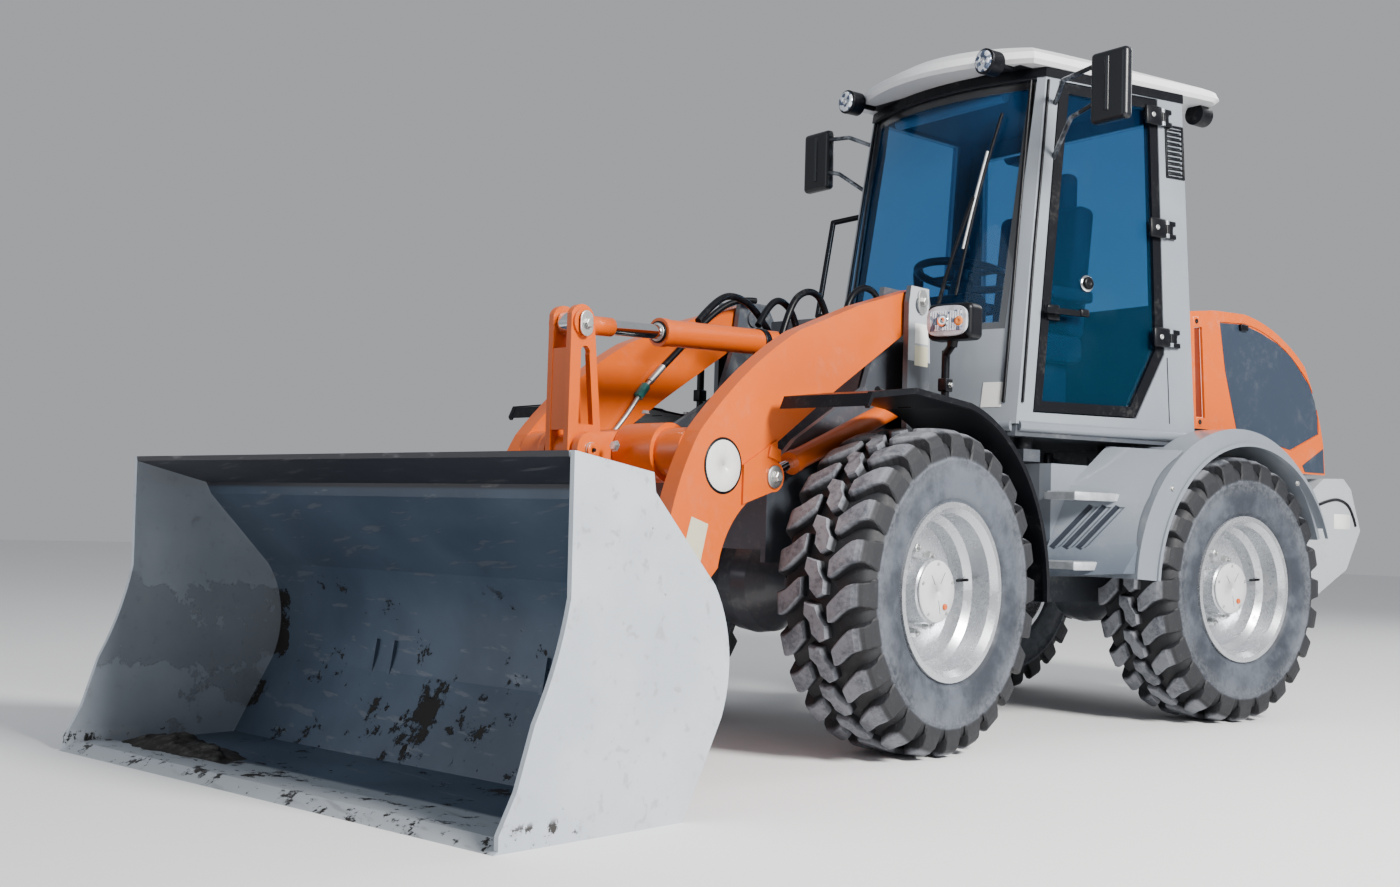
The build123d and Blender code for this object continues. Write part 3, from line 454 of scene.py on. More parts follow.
CORNERS = ("front_left", "front_right", "rear_left", "rear_right")
CAD_FINISHES = {
    ORANGE: ["lift_arms", "rocker_lever", "tilt_cylinder_barrel", "left_lift_cylinder_barrel",
             "right_lift_cylinder_barrel", "tilt_link"],
    HOOD_PAINT: ["engine_hood"],
    SCREEN: ["windscreen"],
    FRAME_GREY: ["front_frame", "rear_frame", "front_axle", "rear_axle", "left_steering_barrel",
                 "right_steering_barrel", "cab_floor"],
    PALE_GREY: ["counterweight"],
    BUCKET: ["bucket", "cutting_edge"],
    CHROME: ["tilt_cylinder_rod", "left_lift_cylinder_rod", "right_lift_cylinder_rod",
             "left_steering_rod", "right_steering_rod"],
    ZINC: ["bucket_pins", "rocker_pin", "link_pin"],
    CAB_SKIN: ["cab_frame"],
    CAB_GREY: ["rear_left_fender", "rear_right_fender"],
    TANK: ["left_side_tank", "right_side_tank"],
    MIRROR_CASE: ["left_mirror", "right_mirror"],
    BLACK: ["front_left_fender", "front_right_fender", "left_headlight", "right_headlight", "right_handrail",
            "steering_column", "steering_wheel", "cab_mounts", "cab_door", "roof_lamps"],
    RED: ["tail_lamps"],
    GALVANISED: ["left_steps", "right_steps"],
    ROOF_WHITE: ["cab_roof"],
    SEAT_CLOTH: ["driver_seat"],
    ENGINE_IRON: ["engine"],
    GLASS: ["cab_door_glass", "rear_window", "right_window"],
    RUBBER: [f"{corner}_tyre" for corner in CORNERS],
    RIM_GREY: [f"{corner}_rim" for corner in CORNERS],
}
for finish, names in CAD_FINISHES.items():
    for name in names:
        NODES[name].data.materials.clear()
        NODES[name].data.materials.append(finish)


# ---------------------------------------------------------------- mesh helpers
def new_piece(name, mesh, body, place=None):
    """A piece at the origin: place goes into its mesh, and it rides on a body."""
    mesh.name = name
    if place is not None:
        mesh.transform(place)
    piece = bpy.data.objects.new(name, mesh)
    bpy.context.scene.collection.objects.link(piece)
    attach(piece, body)
    return piece


def skin(bm, rings, closed=True):
    """Faces between each ring of vertices and the next."""
    for near, far in zip(rings, rings[1:]):
        for i in range(len(near) if closed else len(near) - 1):
            j = (i + 1) % len(near)
            bm.faces.new((near[i], near[j], far[j], far[i]))


def from_bm(bm, finish=None, smooth=True):
    """The mesh of a bmesh, with its normals made to agree."""
    bmesh.ops.remove_doubles(bm, verts=bm.verts, dist=1e-6)
    bmesh.ops.recalc_face_normals(bm, faces=bm.faces)
    mesh = bpy.data.meshes.new("mesh")
    bm.to_mesh(mesh)
    bm.free()
    for face in mesh.polygons:
        face.use_smooth = smooth
    if finish is not None:
        mesh.materials.append(finish)
    return mesh


# ---------------------------------------------------------------- geometry node trees
class Pattern(NodeTree):
    """A Geometry Nodes tree in the making, with named inputs."""

    def __init__(self, name, **inputs):
        self.tree = bpy.data.node_groups.new(name, "GeometryNodeTree")
        face = self.tree.interface
        face.new_socket("Geometry", in_out="INPUT", socket_type="NodeSocketGeometry")
        face.new_socket("Geometry", in_out="OUTPUT", socket_type="NodeSocketGeometry")
        for key, kind in inputs.items():
            face.new_socket(key, in_out="INPUT", socket_type="NodeSocket" + kind)
        self.given = self.node("NodeGroupInput").outputs

    def maths(self, operation, *values):
        return self.node("ShaderNodeMath", {"operation": operation}, dict(enumerate(values))).outputs[0]

    def close(self, geometry):
        """Ends the tree in Realize Instances and Set Material."""
        real = self.node("GeometryNodeRealizeInstances", None, {"Geometry": geometry})
        painted = self.node("GeometryNodeSetMaterial", None,
                            {"Geometry": real.outputs[0], "Material": self.given["Finish"]})
        self.node("NodeGroupOutput", None, {0: painted.outputs[0]})
        return self.tree


def ring_pattern():
    """Copies of a piece round the X axis."""
    p = Pattern("ring_of_pieces", Piece="Object", Count="Int", Finish="Material")
    source = p.node("GeometryNodeObjectInfo", None, {"Object": p.given["Piece"]})
    points = p.node("GeometryNodePoints", None, {"Count": p.given["Count"]})
    index = p.node("GeometryNodeInputIndex").outputs[0]
    step = p.maths("DIVIDE", 2 * math.pi, p.given["Count"])
    turn = p.node("ShaderNodeCombineXYZ", None, {"X": p.maths("MULTIPLY", index, step)})
    placed = p.node("GeometryNodeInstanceOnPoints", None, {
        "Points": points.outputs[0], "Instance": source.outputs["Geometry"], "Rotation": turn.outputs[0]})
    return p.close(placed.outputs[0])


def row_pattern():
    """Copies of a piece in a straight row."""
    p = Pattern("row_of_pieces", Piece="Object", Count="Int", Start="Vector", Step="Vector",
                Finish="Material")
    source = p.node("GeometryNodeObjectInfo", None, {"Object": p.given["Piece"]})
    line = p.node("GeometryNodeMeshLine", {"mode": "OFFSET"}, {
        "Count": p.given["Count"], "Start Location": p.given["Start"],
        "Offset": p.given["Step"]})
    placed = p.node("GeometryNodeInstanceOnPoints", None,
                    {"Points": line.outputs[0], "Instance": source.outputs["Geometry"]})
    return p.close(placed.outputs[0])


def tube_pattern():
    """A round tube along the curve that it is put on."""
    p = Pattern("tube_on_path", Radius="Float", Sides="Int", Finish="Material")
    ring = p.node("GeometryNodeCurvePrimitiveCircle", None,
                  {"Resolution": p.given["Sides"], "Radius": p.given["Radius"]})
    tube = p.node("GeometryNodeCurveToMesh", None,
                  {"Curve": p.given["Geometry"], "Profile Curve": ring.outputs[0], "Fill Caps": True})
    smooth = p.node("GeometryNodeSetShadeSmooth", None, {"Geometry": tube.outputs[0]})
    return p.close(smooth.outputs[0])


RING, ROW, TUBE = ring_pattern(), row_pattern(), tube_pattern()


def grown(tree, host, **values):
    """The mesh that a pattern makes on a host object, which is then dropped."""
    modifier = host.modifiers.new("pattern", "NODES")
    modifier.node_group = tree
    for item in tree.interface.items_tree:
        if item.in_out == "INPUT" and item.name in values:
            modifier[item.identifier] = values[item.name]
    bpy.context.scene.collection.objects.link(host)
    bpy.context.view_layer.update()
    shape = host.evaluated_get(bpy.context.evaluated_depsgraph_get())
    mesh = bpy.data.meshes.new_from_object(shape)
    bpy.data.objects.remove(host)
    return mesh


def copies(tree, mesh, **values):
    """The mesh of a pattern that repeats a piece, grown on an empty host."""
    host, piece = [bpy.data.objects.new("loose", m) for m in (bpy.data.meshes.new("host"), mesh)]
    return grown(tree, host, Piece=piece, **values)


def ring_of(mesh, count, finish):
    return copies(RING, mesh, Count=count, Finish=finish)


def row_of(mesh, count, start, step, finish):
    return copies(ROW, mesh, Count=count, Start=start, Step=step, Finish=finish)


def tube_along(points, radius, finish, sides=12, smooth=True):
    """Tube along a smooth line through its end points, guided by the ones between."""
    curve = bpy.data.curves.new("route", "CURVE")
    curve.dimensions = "3D"
    spline = curve.splines.new("NURBS" if smooth else "POLY")
    spline.points.add(len(points) - 1)
    for point, place in zip(spline.points, points):
        point.co = (*place, 1)
    if smooth:
        spline.order_u = 3
        spline.use_endpoint_u = True
        spline.resolution_u = 8
    return grown(TUBE, bpy.data.objects.new("route", curve), Radius=radius, Sides=sides, Finish=finish)


def joined(*meshes):
    """One mesh of several, which keep their finishes."""
    bm = bmesh.new()
    finishes = []
    for mesh in meshes:
        start = len(bm.faces)
        bm.from_mesh(mesh)
        bm.faces.ensure_lookup_table()
        finishes += [m for m in mesh.materials if m not in finishes]
        slots = [finishes.index(m) for m in mesh.materials]
        for face in bm.faces[start:]:
            face.material_index = slots[face.material_index] if slots else 0
    whole = bpy.data.meshes.new("whole")
    bm.to_mesh(whole)
    bm.free()
    for finish in finishes:
        whole.materials.append(finish)
    return whole


# ---------------------------------------------------------------- basic forms
def lathe(outline, finish, steps):
    """Closed body turned about the X axis from (x, radius) points."""
    bm = bmesh.new()
    rings = []
    for i in range(steps):
        a = 2 * math.pi * i / steps
        rings.append([bm.verts.new((x, r * math.cos(a), r * math.sin(a))) for x, r in outline])
    skin(bm, rings + rings[:1])
    return from_bm(bm, finish)


def soften(bm, radius, segments):
    """Rounds every edge of a bmesh."""
    bmesh.ops.bevel(bm, geom=bm.edges[:], offset=radius, segments=segments, profile=0.5, affect="EDGES")


def rounded_box(low, high, radius, finish, segments=3):
    """Box between two corners with its edges rounded."""
    bm = bmesh.new()
    bmesh.ops.create_cube(bm, size=1)
    low, high = Vector(low), Vector(high)
    for v in bm.verts:
        v.co = (low + high) / 2 + v.co * (high - low)
    soften(bm, radius, segments)
    return from_bm(bm, finish)


def prism(points, low, high, finish, axis="X", bevel=0.0):
    """Plate with its outline in the two other axes, in their own order, between low and high."""
    bm = bmesh.new()
    slot = "XYZ".index(axis)
    near, far = [[bm.verts.new((*point[:slot], level, *point[slot:])) for point in points]
                 for level in (low, high)]
    bm.faces.new(near)
    bm.faces.new(far)
    skin(bm, [near, far])
    bmesh.ops.recalc_face_normals(bm, faces=bm.faces)
    if bevel:
        soften(bm, bevel, 2)
    return from_bm(bm, finish, smooth=False)


def stood(mesh, centre, normal):
    """A body made along X from the origin, stood at centre along normal."""
    turn = Vector((1, 0, 0)).rotation_difference(Vector(normal)).to_matrix().to_4x4()
    mesh.transform(Matrix.Translation(Vector(centre)) @ turn)
    return mesh


def disc(centre, normal, radius, depth, finish, bevel, sides=40):
    """Short round bar standing on centre and rising depth along normal, with a softened top edge."""
    bore = 0.0005
    outline = [(0, bore), (0, radius), (depth - bevel, radius), (depth, radius - bevel), (depth, bore)]
    return stood(lathe(outline, finish, sides), centre, normal)


def hex_bolt(centre, normal, across, depth, finish):
    """Hexagon head on a washer."""
    bore, washer, corner, top = 0.0004, across * 0.72, across * 0.56, across * 0.46
    head = lathe([(0, bore), (0, washer), (depth * 0.2, washer), (depth * 0.2, corner), (depth * 0.9, corner),
                  (depth, top), (depth, bore)], finish, 6)
    for face in head.polygons:
        face.use_smooth = False
    return stood(head, centre, normal)


# ---------------------------------------------------------------- tyres
RING_LINE = 0.428               # radius where the lugs start on the sidewall
LUGS = 24
LUG_HEIGHT = 0.034
LUG_SOFT = 0.004                # rounding of a lug's upper edges
BLOCK_LAG = 0.092               # arc from a lug's root to the middle of the centre block behind it


def carcass_radius(x):
    """Radius of the tread's ground surface between the lugs, at x from the centre plane."""
    return TYRE_RADIUS - LUG_HEIGHT - 0.012 * (x / TREAD_HALF) ** 2


def carcass():
    """The tyre without its lugs, from bead to bead."""
    bead = [(0.148, 0.262), (0.148, 0.287), (0.153, 0.296), (0.159, 0.300), (0.161, 0.312)]
    wall = [(0.166, 0.345), (0.168, 0.385), (0.1672, 0.411), (0.1715, 0.415), (0.1715, 0.421),
            (0.166, RING_LINE), (0.158, 0.452), (0.146, 0.469)]
    crown = [(x, carcass_radius(x)) for x in (0.125, 0.08, 0.04)]
    half = bead + wall + crown
    outline = half + [(0.0, carcass_radius(0))] + [(-x, r) for x, r in reversed(half)]
    return lathe(outline, RUBBER, 96)


def on_tread(bm, x, arc, radius):
    """Vertex at x from the centre plane, an arc ahead of the lowest point and a radius from the axle."""
    a = arc / TYRE_RADIUS
    return bm.verts.new((x, -radius * math.cos(a), radius * math.sin(a)))


def shoulder_lug():
    """One lug, from the ring line over the shoulder to its inner end, as strips across stations."""
    # x, radius of the foot, radius of the top, arc ahead of the lug's root, half width at the top
    stations = [
        (0.166, 0.420, 0.430, 0.000, 0.047), (0.1655, 0.440, 0.446, 0.000, 0.044),
        (0.163, 0.452, 0.470, -0.001, 0.039), (0.157, 0.460, 0.494, -0.002, 0.036),
        (0.147, 0.468, 0.509, -0.003, 0.035), (0.132, 0.472, 0.516, -0.006, 0.035),
        (0.114, 0.476, 0.519, -0.013, 0.035), (0.096, 0.480, 0.521, -0.026, 0.034),
        (0.078, 0.483, 0.522, -0.042, 0.033), (0.061, 0.485, 0.5225, -0.056, 0.031),
        (0.050, 0.486, 0.5225, -0.063, 0.026),
    ]
    bm = bmesh.new()
    rows = []
    for x, foot, top, ahead, half in stations:
        x_top = x + (0.004 if x > 0.155 else 0)
        across = [(half + 0.010, foot, x), (half + 0.001, top - LUG_SOFT, x_top),
                  (half - LUG_SOFT, top, x_top)]
        across = [(-arc, radius, side) for arc, radius, side in across] + across[::-1]
        rows.append([on_tread(bm, side, arc + ahead, radius) for arc, radius, side in across])
    skin(bm, rows)
    bm.faces.new(rows[0])
    bm.faces.new(rows[-1])
    return from_bm(bm, smooth=False)


def centre_block():
    """Slanted block of the middle row, tapering to its top."""
    outline = [(-0.036, 0.060), (0.006, 0.050), (0.017, 0.018), (0.038, -0.010), (0.036, -0.050),
               (0.010, -0.062), (-0.015, -0.038), (-0.018, 0.000), (-0.040, 0.024)]
    bm = bmesh.new()
    levels = []
    for radius, grow in ((0.482, 1.08), (TYRE_RADIUS - LUG_SOFT, 1.0), (TYRE_RADIUS, 0.93)):
        levels.append([on_tread(bm, x * grow, arc * grow - BLOCK_LAG, radius) for x, arc in outline])
    skin(bm, levels)
    bm.faces.new(levels[0])
    bm.faces.new(levels[-1])
    return from_bm(bm, smooth=False)


def tyre_mesh():
    """The whole tyre, each point with its distance from the axle for the rubber's finish."""
    near = shoulder_lug()
    far = near.copy()
    far.transform(Matrix.Rotation(2 * BLOCK_LAG / TYRE_RADIUS, 4, "X") @ Matrix.Rotation(math.pi, 4, "Y"))
    pitch = joined(near, far, centre_block())
    whole = joined(carcass(), ring_of(pitch, LUGS, RUBBER))
    distance = whole.attributes.new("axle_distance", "FLOAT", "POINT")
    distance.data.foreach_set("value", [math.hypot(v.co.y, v.co.z) for v in whole.vertices])
    return whole


def wheel_places():
    """Each wheel's name and its place, with the hub cap outwards."""
    for corner in CORNERS:
        front, left = corner.startswith("front"), corner.endswith("left")
        y = -WHEELBASE / 2 if front else WHEELBASE / 2
        place = Matrix.Translation((WHEEL_X if left else -WHEEL_X, y, AXLE_Z))
        if not left:
            place = place @ Matrix.Rotation(math.pi, 4, "Z")
        yield corner, FRONT @ place if front else place


def tyres():
    """The treaded tyres, which take the place of the plain ones."""
    mesh = tyre_mesh()
    for name, place in wheel_places():
        piece = new_piece(f"{name}_tyre_tread", mesh.copy(), f"{name}_wheel", place)
        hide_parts(f"{name}_tyre")


# ---------------------------------------------------------------- wheels
OUT = (1, 0, 0)                 # away from the machine's middle, on its left side
HUB_FACE = 0.091                # hub cap from the wheel's centre plane
DISC_FACE = -0.002              # face that the wheel nuts stand on
NUT_CIRCLE = 0.137              # radius of the ring of wheel nuts
CAP_BOLT_CIRCLE = 0.088


def wheel_centres():
    """Hub cap with its bolts, orange plug and scratches, the ring of wheel nuts and a valve."""
    cap = disc((HUB_FACE, 0, 0), OUT, 0.100, 0.006, PALE_HUB, 0.003, 64)
    bolt = disc((HUB_FACE + 0.004, 0, CAP_BOLT_CIRCLE), OUT, 0.006, 0.005, ZINC, 0.001, 16)
    nut = hex_bolt((DISC_FACE, 0, NUT_CIRCLE), OUT, 0.027, 0.024, ZINC)
    stud = disc((DISC_FACE + 0.02, 0, NUT_CIRCLE), OUT, 0.007, 0.014, ZINC, 0.001, 12)
    bolts, nuts, studs = ring_of(bolt, 5, ZINC), ring_of(nut, 10, ZINC), ring_of(stud, 10, ZINC)
    plug = disc((HUB_FACE + 0.005, 0.040, -0.050), OUT, 0.010, 0.008, ORANGE, 0.001, 20)
    marks = [tube_along([(HUB_FACE + 0.006, y * t, z * t) for t in (0.35, 0.6, 0.85)], 0.0012, BLACK, 6)
             for y, z in ((-0.04, 0.06), (0.05, 0.07), (0.02, -0.085))]
    valve = disc((0.03, 0.215, 0.03), (1, 0, 0.1), 0.005, 0.045, BLACK, 0.001, 12)
    whole = joined(cap, bolts, nuts, studs, plug, valve, *marks)
    for name, place in wheel_places():
        new_piece(f"{name}_wheel_fittings", whole.copy(), f"{name}_wheel", place)


# ---------------------------------------------------------------- loader arms
ARM_FACE = 0.410                # outer face of a lift arm
BOSS_FACE = 0.418               # outer face of the boss round the lift cylinder's eye
TOWER_FACE = 0.442
ARM_SIGN = (-1.688, 0.893)      # middles of the round sign and of the pins, in (y, z)
LIFT_EYE = (-1.454, 0.869)
ARM_PIVOT = (-0.706, 1.497)


def mirrored(mesh):
    """A left piece's mesh with its mirror image."""
    copy = mesh.copy()
    copy.transform(Matrix.Scale(-1, 4, (1, 0, 0)))
    copy.flip_normals()
    return joined(mesh, copy)


def oval_plate(centre, half, radius, x, depth, finish):
    """Upright oval plate on a face at x, with a bolt in its middle, in (y, z)."""
    y, z = centre
    turns = [math.pi * k / 12 for k in range(13)]
    rim = [(y + radius * math.cos(a), z + half + radius * math.sin(a)) for a in turns]
    rim += [(y - radius * math.cos(a), z - half - radius * math.sin(a)) for a in turns]
    plate = prism(rim, x, x + depth, finish, bevel=0.002)
    return joined(plate, hex_bolt((x + depth, y, z), OUT, 0.026, 0.014, ZINC))


def pin_end(y, z, x, radius, finish=ZINC):
    """Round pin head with its grease nipple."""
    head = disc((x, y, z), OUT, radius, 0.006, finish, 0.002)
    nipple = disc((x + 0.005, y, z), OUT, 0.006, 0.010, BLACK, 0.002, 12)
    return joined(head, nipple)


def arm_fittings():
    """Blank round sign, label, pin heads and bolts that ride on the lift arms."""
    sign = joined(disc((ARM_FACE, *ARM_SIGN), OUT, 0.086, 0.0012, BLACK, 0.0003, 64),
                  disc((ARM_FACE + 0.001, *ARM_SIGN), OUT, 0.078, 0.0012, WHITE, 0.0003, 64))
    label = prism([(-1.824, 0.737), (-1.749, 0.716), (-1.779, 0.605), (-1.846, 0.668)],
                  ARM_FACE, ARM_FACE + 0.001, CREAM)
    cap_face = BOSS_FACE + 0.008
    eye = joined(disc((BOSS_FACE, *LIFT_EYE), OUT, 0.036, cap_face - BOSS_FACE, ZINC, 0.002),
                 hex_bolt((cap_face, *LIFT_EYE), OUT, 0.030, 0.016, ZINC))
    lug = prism([(-1.49, 0.93), (-1.43, 0.915), (-1.43, 0.955), (-1.48, 0.965)],
                BOSS_FACE, cap_face, ORANGE, bevel=0.002)
    whole = mirrored(joined(sign, label, eye, lug, pin_end(*ARM_PIVOT, ARM_FACE, 0.036)))
    collar_bolts = [hex_bolt((0.141, -1.878, 0.944), (0, -1, 0.1), 0.026, 0.014, ZINC),
                    hex_bolt((0.030, -1.878, 0.950), (0, -1, 0.1), 0.020, 0.010, ZINC),
                    hex_bolt((0.141, -1.752, 1.052), (0, 0, 1), 0.020, 0.010, ZINC)]
    new_piece("arm_signs_and_pins", joined(whole, *collar_bolts), "lift_arms", FRONT)


def arm_pipe():
    """Pipe, coupling and hose along the inner side of the right lift arm."""
    x = -0.335
    pipe = tube_along([(x, -1.62, 0.93), (x, -1.45, 0.99), (x, -1.357, 1.079), (x, -1.277, 1.179),
                       (x, -1.235, 1.219)], 0.0085, ZINC)
    nut = tube_along([(x, -1.297, 1.155), (x, -1.258, 1.198)], 0.018, TEAL, 6, False)
    ferrule = tube_along([(x, -1.240, 1.214), (x, -1.175, 1.273)], 0.013, ZINC, 16, False)
    hose = tube_along([(x, -1.185, 1.264), (x, -1.05, 1.375), (x + 0.010, -0.93, 1.490),
                       (x + 0.035, -0.82, 1.560), (x + 0.060, -0.74, 1.560)], 0.0115, BLACK)
    new_piece("arm_pipe", joined(pipe, nut, ferrule, hose), "lift_arms", FRONT)


def tower_fittings():
    """Pin covers and blank labels on the towers of the front frame."""
    cover = oval_plate((-0.700, 1.508), 0.018, 0.026, TOWER_FACE, 0.008, ZINC)
    labels = [prism([(-0.735, low), (-0.655, low), (-0.655, high), (-0.735, high)],
                    TOWER_FACE, TOWER_FACE + 0.001, finish)
              for low, high, finish in ((1.362, 1.432, WHITE), (1.285, 1.355, CREAM))]
    foot = pin_end(-0.706, 1.157, TOWER_FACE + 0.006, 0.026)
    shell = prism([(-0.640, 1.30), (-0.655, 1.558), (-0.762, 1.558), (-0.774, 1.495), (-0.774, 1.30)],
                  TOWER_FACE - 0.001, TOWER_FACE + 0.0004, PALE_GREY)
    new_piece("tower_fittings", mirrored(joined(shell, cover, *labels, foot)), "front_frame", FRONT)


def rocker_fittings():
    """Pin plates of the rocker lever."""
    top = oval_plate((-1.944, 1.316), 0.014, 0.026, 0.064, 0.006, ZINC)
    middle = pin_end(-1.930, 0.930, 0.092, 0.022, ORANGE)
    new_piece("rocker_fittings", mirrored(top), "rocker_lever", FRONT)
    new_piece("rocker_pin_heads", mirrored(middle), "rocker_pin", FRONT)


TILT_AXIS = Vector((0, -1.276, -0.052)).normalized()
TILT_FOOT = Vector((0, -0.668, 1.372))


def tilt_band(start, length, radius, finish):
    """Ring round the tilt cylinder, at a distance from its base pin."""
    return disc(TILT_FOOT + TILT_AXIS * start, TILT_AXIS, radius, length, finish, 0.002, 40)


def tilt_cylinder_fittings():
    """Clamp band and wiper seal of the barrel, and the painted sleeve at the rod's eye."""
    barrel = joined(tilt_band(0.36, 0.030, 0.0475, BLACK), tilt_band(0.889, 0.006, 0.036, BLACK),
                    tilt_band(0.894, 0.004, 0.031, ZINC))
    new_piece("tilt_cylinder_fittings", barrel, "tilt_cylinder_barrel", FRONT)
    new_piece("tilt_rod_sleeve", tilt_band(1.110, 0.130, 0.030, ORANGE), "tilt_cylinder_rod", FRONT)


HOSE_RADIUS = 0.0125
HOSE_ARCS = (
    ((0.030, -0.985, 1.300), (0.035, -0.93, 1.50), (0.035, -0.815, 1.575),
     (0.04, -0.72, 1.53), (0.05, -0.665, 1.33)),
    ((0.075, -0.700, 1.300), (0.080, -0.665, 1.52), (0.085, -0.563, 1.620),
     (0.09, -0.44, 1.58), (0.10, -0.420, 1.40)),
    ((-0.060, -1.298, 1.405), (-0.070, -1.20, 1.49), (-0.075, -1.096, 1.525),
     (-0.08, -0.95, 1.48), (-0.09, -0.80, 1.33)),
    ((-0.030, -1.016, 1.420), (-0.040, -0.95, 1.50), (-0.040, -0.878, 1.535),
     (-0.05, -0.77, 1.47), (-0.06, -0.72, 1.30)),
    ((0.130, -0.62, 1.22), (0.150, -0.58, 1.40), (0.160, -0.50, 1.44),
     (0.17, -0.42, 1.36), (0.17, -0.36, 1.05)),
)


def hoses():
    """Hydraulic hoses that loop over the tilt cylinder, and those that cross the articulation."""
    loops = [tube_along(points, HOSE_RADIUS, BLACK) for points in HOSE_ARCS]
    new_piece("tilt_hoses", joined(*loops), "front_frame", FRONT)
    low = [tube_along([(x, -0.55, 0.74), (x + 0.02, -0.36, 0.86), (x + 0.05, -0.12, 0.95),
                       (x + 0.04, 0.02, 0.92)], 0.012, BLACK) for x in (0.10, 0.145, -0.10)]
    new_piece("frame_hoses", joined(*low), "front_frame", FRONT)


# ---------------------------------------------------------------- front mudguards and headlights
LAMP_PLACE = (0.62, -0.76, 1.419)
LAMP_HALF = (0.078, 0.051)      # half width and half height of the headlight's front
LAMP_SQUARENESS = 0.55          # 1 is an ellipse, less is squarer


def drawn_out(turn):
    """Sine or cosine drawn out towards the corners of a rounded oblong."""
    return math.copysign(abs(turn) ** LAMP_SQUARENESS, turn)


def headlight():
    """Reflector, ribbed lens, bulb and side lamp of the left headlight."""
    turns = [2 * math.pi * k / 40 for k in range(40)]
    oval = [(LAMP_HALF[0] * drawn_out(math.cos(a)), LAMP_HALF[1] * drawn_out(math.sin(a))) for a in turns]
    rim = prism(oval, -0.054, -0.040, REFLECTOR, "Y", 0.002)
    rib = prism([(-0.0035, -0.034), (0.0035, -0.034), (0.0035, 0.034), (-0.0035, 0.034)],
                -0.057, -0.054, LENS, "Y", 0.001)
    ribs = row_of(rib, 13, (-0.060, 0, 0), (0.0098, 0, 0), LENS)
    bulb = disc((-0.012, -0.056, 0), (0, -1, 0), 0.022, 0.006, CHROME, 0.003)
    lamp = disc((0.050, -0.056, -0.004), (0, -1, 0), 0.016, 0.004, AMBER, 0.002)
    light = joined(rim, ribs, bulb, lamp)
    light.transform(Matrix.Translation(LAMP_PLACE))
    return light


def front_guard_fittings():
    """The mudguard's strap with its bolts, the headlight's front and its clamp."""
    bolts = [hex_bolt((0.56, y, 1.133), (0, 0, 1), 0.020, 0.011, ZINC) for y in (-0.93, -0.80)]
    strap = tube_along([(0.56, -0.93, 1.137), (0.57, -1.04, 1.142), (0.60, -1.17, 1.16)], 0.010, BLACK)
    clamp = rounded_box((0.543, -0.742, 1.19), (0.578, -0.700, 1.235), 0.004, BLACK)
    grip = hex_bolt((0.578, -0.72, 1.212), OUT, 0.014, 0.010, ZINC)
    whole = mirrored(joined(*bolts, strap, headlight(), clamp, grip))
    new_piece("front_guard_fittings", whole, "front_frame", FRONT)


# ---------------------------------------------------------------- cab
HINGE_HEIGHTS = (1.495, 1.930, 2.384)
LOUVRE = (0.769, 2.254)         # middle of the air grille, in (y, z)


def side_x(y, z):
    """Outside of the cab's left wall."""
    return WALL_X + TOE_OUT * y - LEAN_IN * (z - CAB_Z)


def on_wall(y, z, out=0.0):
    """Place on the left wall: local X points out of it, local Y to the rear, local Z up."""
    rear = Vector((TOE_OUT, 1, 0)).normalized()
    up = Vector((-LEAN_IN, 0, 1))
    outward = rear.cross(up).normalized()
    up = outward.cross(rear)
    spot = Vector((side_x(y, z), y, z)) + outward * out
    turn = Matrix((outward, rear, up)).transposed().to_4x4()
    return Matrix.Translation(spot) @ turn


def front_y(x, z, out=0.0):
    """Bowed front of the cab at x and z, moved ahead by out."""
    front = CAB_FRONT + LEAN_BACK * (z - CAB_Z) / (CAB_TOP - CAB_Z)
    half = side_x(front, z)
    return front - BOW * (1 - (x / half) ** 2) - out


def wall_block(y, z, size, out, radius, segments=2):
    """Rounded black block on the left wall: size is thickness, length along the wall, height."""
    t, w, h = size
    block = rounded_box((0, -w / 2, -h / 2), (t, w / 2, h / 2), radius, BLACK, segments)
    block.transform(on_wall(y, z, out))
    return block


def door_fittings():
    """Hinge covers, escutcheon and end of the lever, and latch, which swing with the door."""
    parts = []
    for z in HINGE_HEIGHTS:
        screw = disc((0, 0, 0), OUT, 0.010, 0.004, ZINC, 0.001, 24)
        screw.transform(on_wall(0.640, z, 0.027))
        parts += [wall_block(0.646, z, (0.016, 0.084, 0.078), 0.012, 0.007), screw]
    escutcheon = wall_block(0.120, 1.548, (0.014, 0.060, 0.060), -0.002, 0.006)
    lever_end = wall_block(0.245, 1.552, (0.022, 0.045, 0.030), 0.022, 0.008, 3)
    latch = joined(disc((0, 0, 0), OUT, 0.033, 0.008, CHROME, 0.003),
                   disc((0.006, 0, 0), OUT, 0.024, 0.014, BLACK, 0.004))
    latch.transform(on_wall(0.301, 1.678, -0.011))
    new_piece("door_fittings", joined(*parts, escutcheon, lever_end, latch), "cab_door")


def hinge_leaves():
    """Black covers over the hinge leaves on the rear pillar."""
    leaves = [wall_block(0.7235, z + offset, (0.016, 0.052, 0.020), 0, 0.003)
              for z in HINGE_HEIGHTS for offset in (-0.026, 0.026)]
    webs = [wall_block(0.7215, z, (0.015, 0.024, 0.036), 0, 0.002) for z in HINGE_HEIGHTS]
    new_piece("hinge_leaves", joined(*leaves, *webs), "rear_frame")


def cab_outline(z, grow):
    """Closed line round the cab at height z, a little outside its wall."""
    corner = side_x(front_y(0, z) + BOW, z)
    bow = [(corner * k / 8, front_y(corner * k / 8, z, grow)) for k in range(-8, 9)]
    bow = [(x + math.copysign(grow, x) if abs(x) > 0.3 else x, y) for x, y in bow]
    rear = side_x(CAB_REAR, z) + grow
    return [(-rear, CAB_REAR + grow), *bow, (rear, CAB_REAR + grow)]


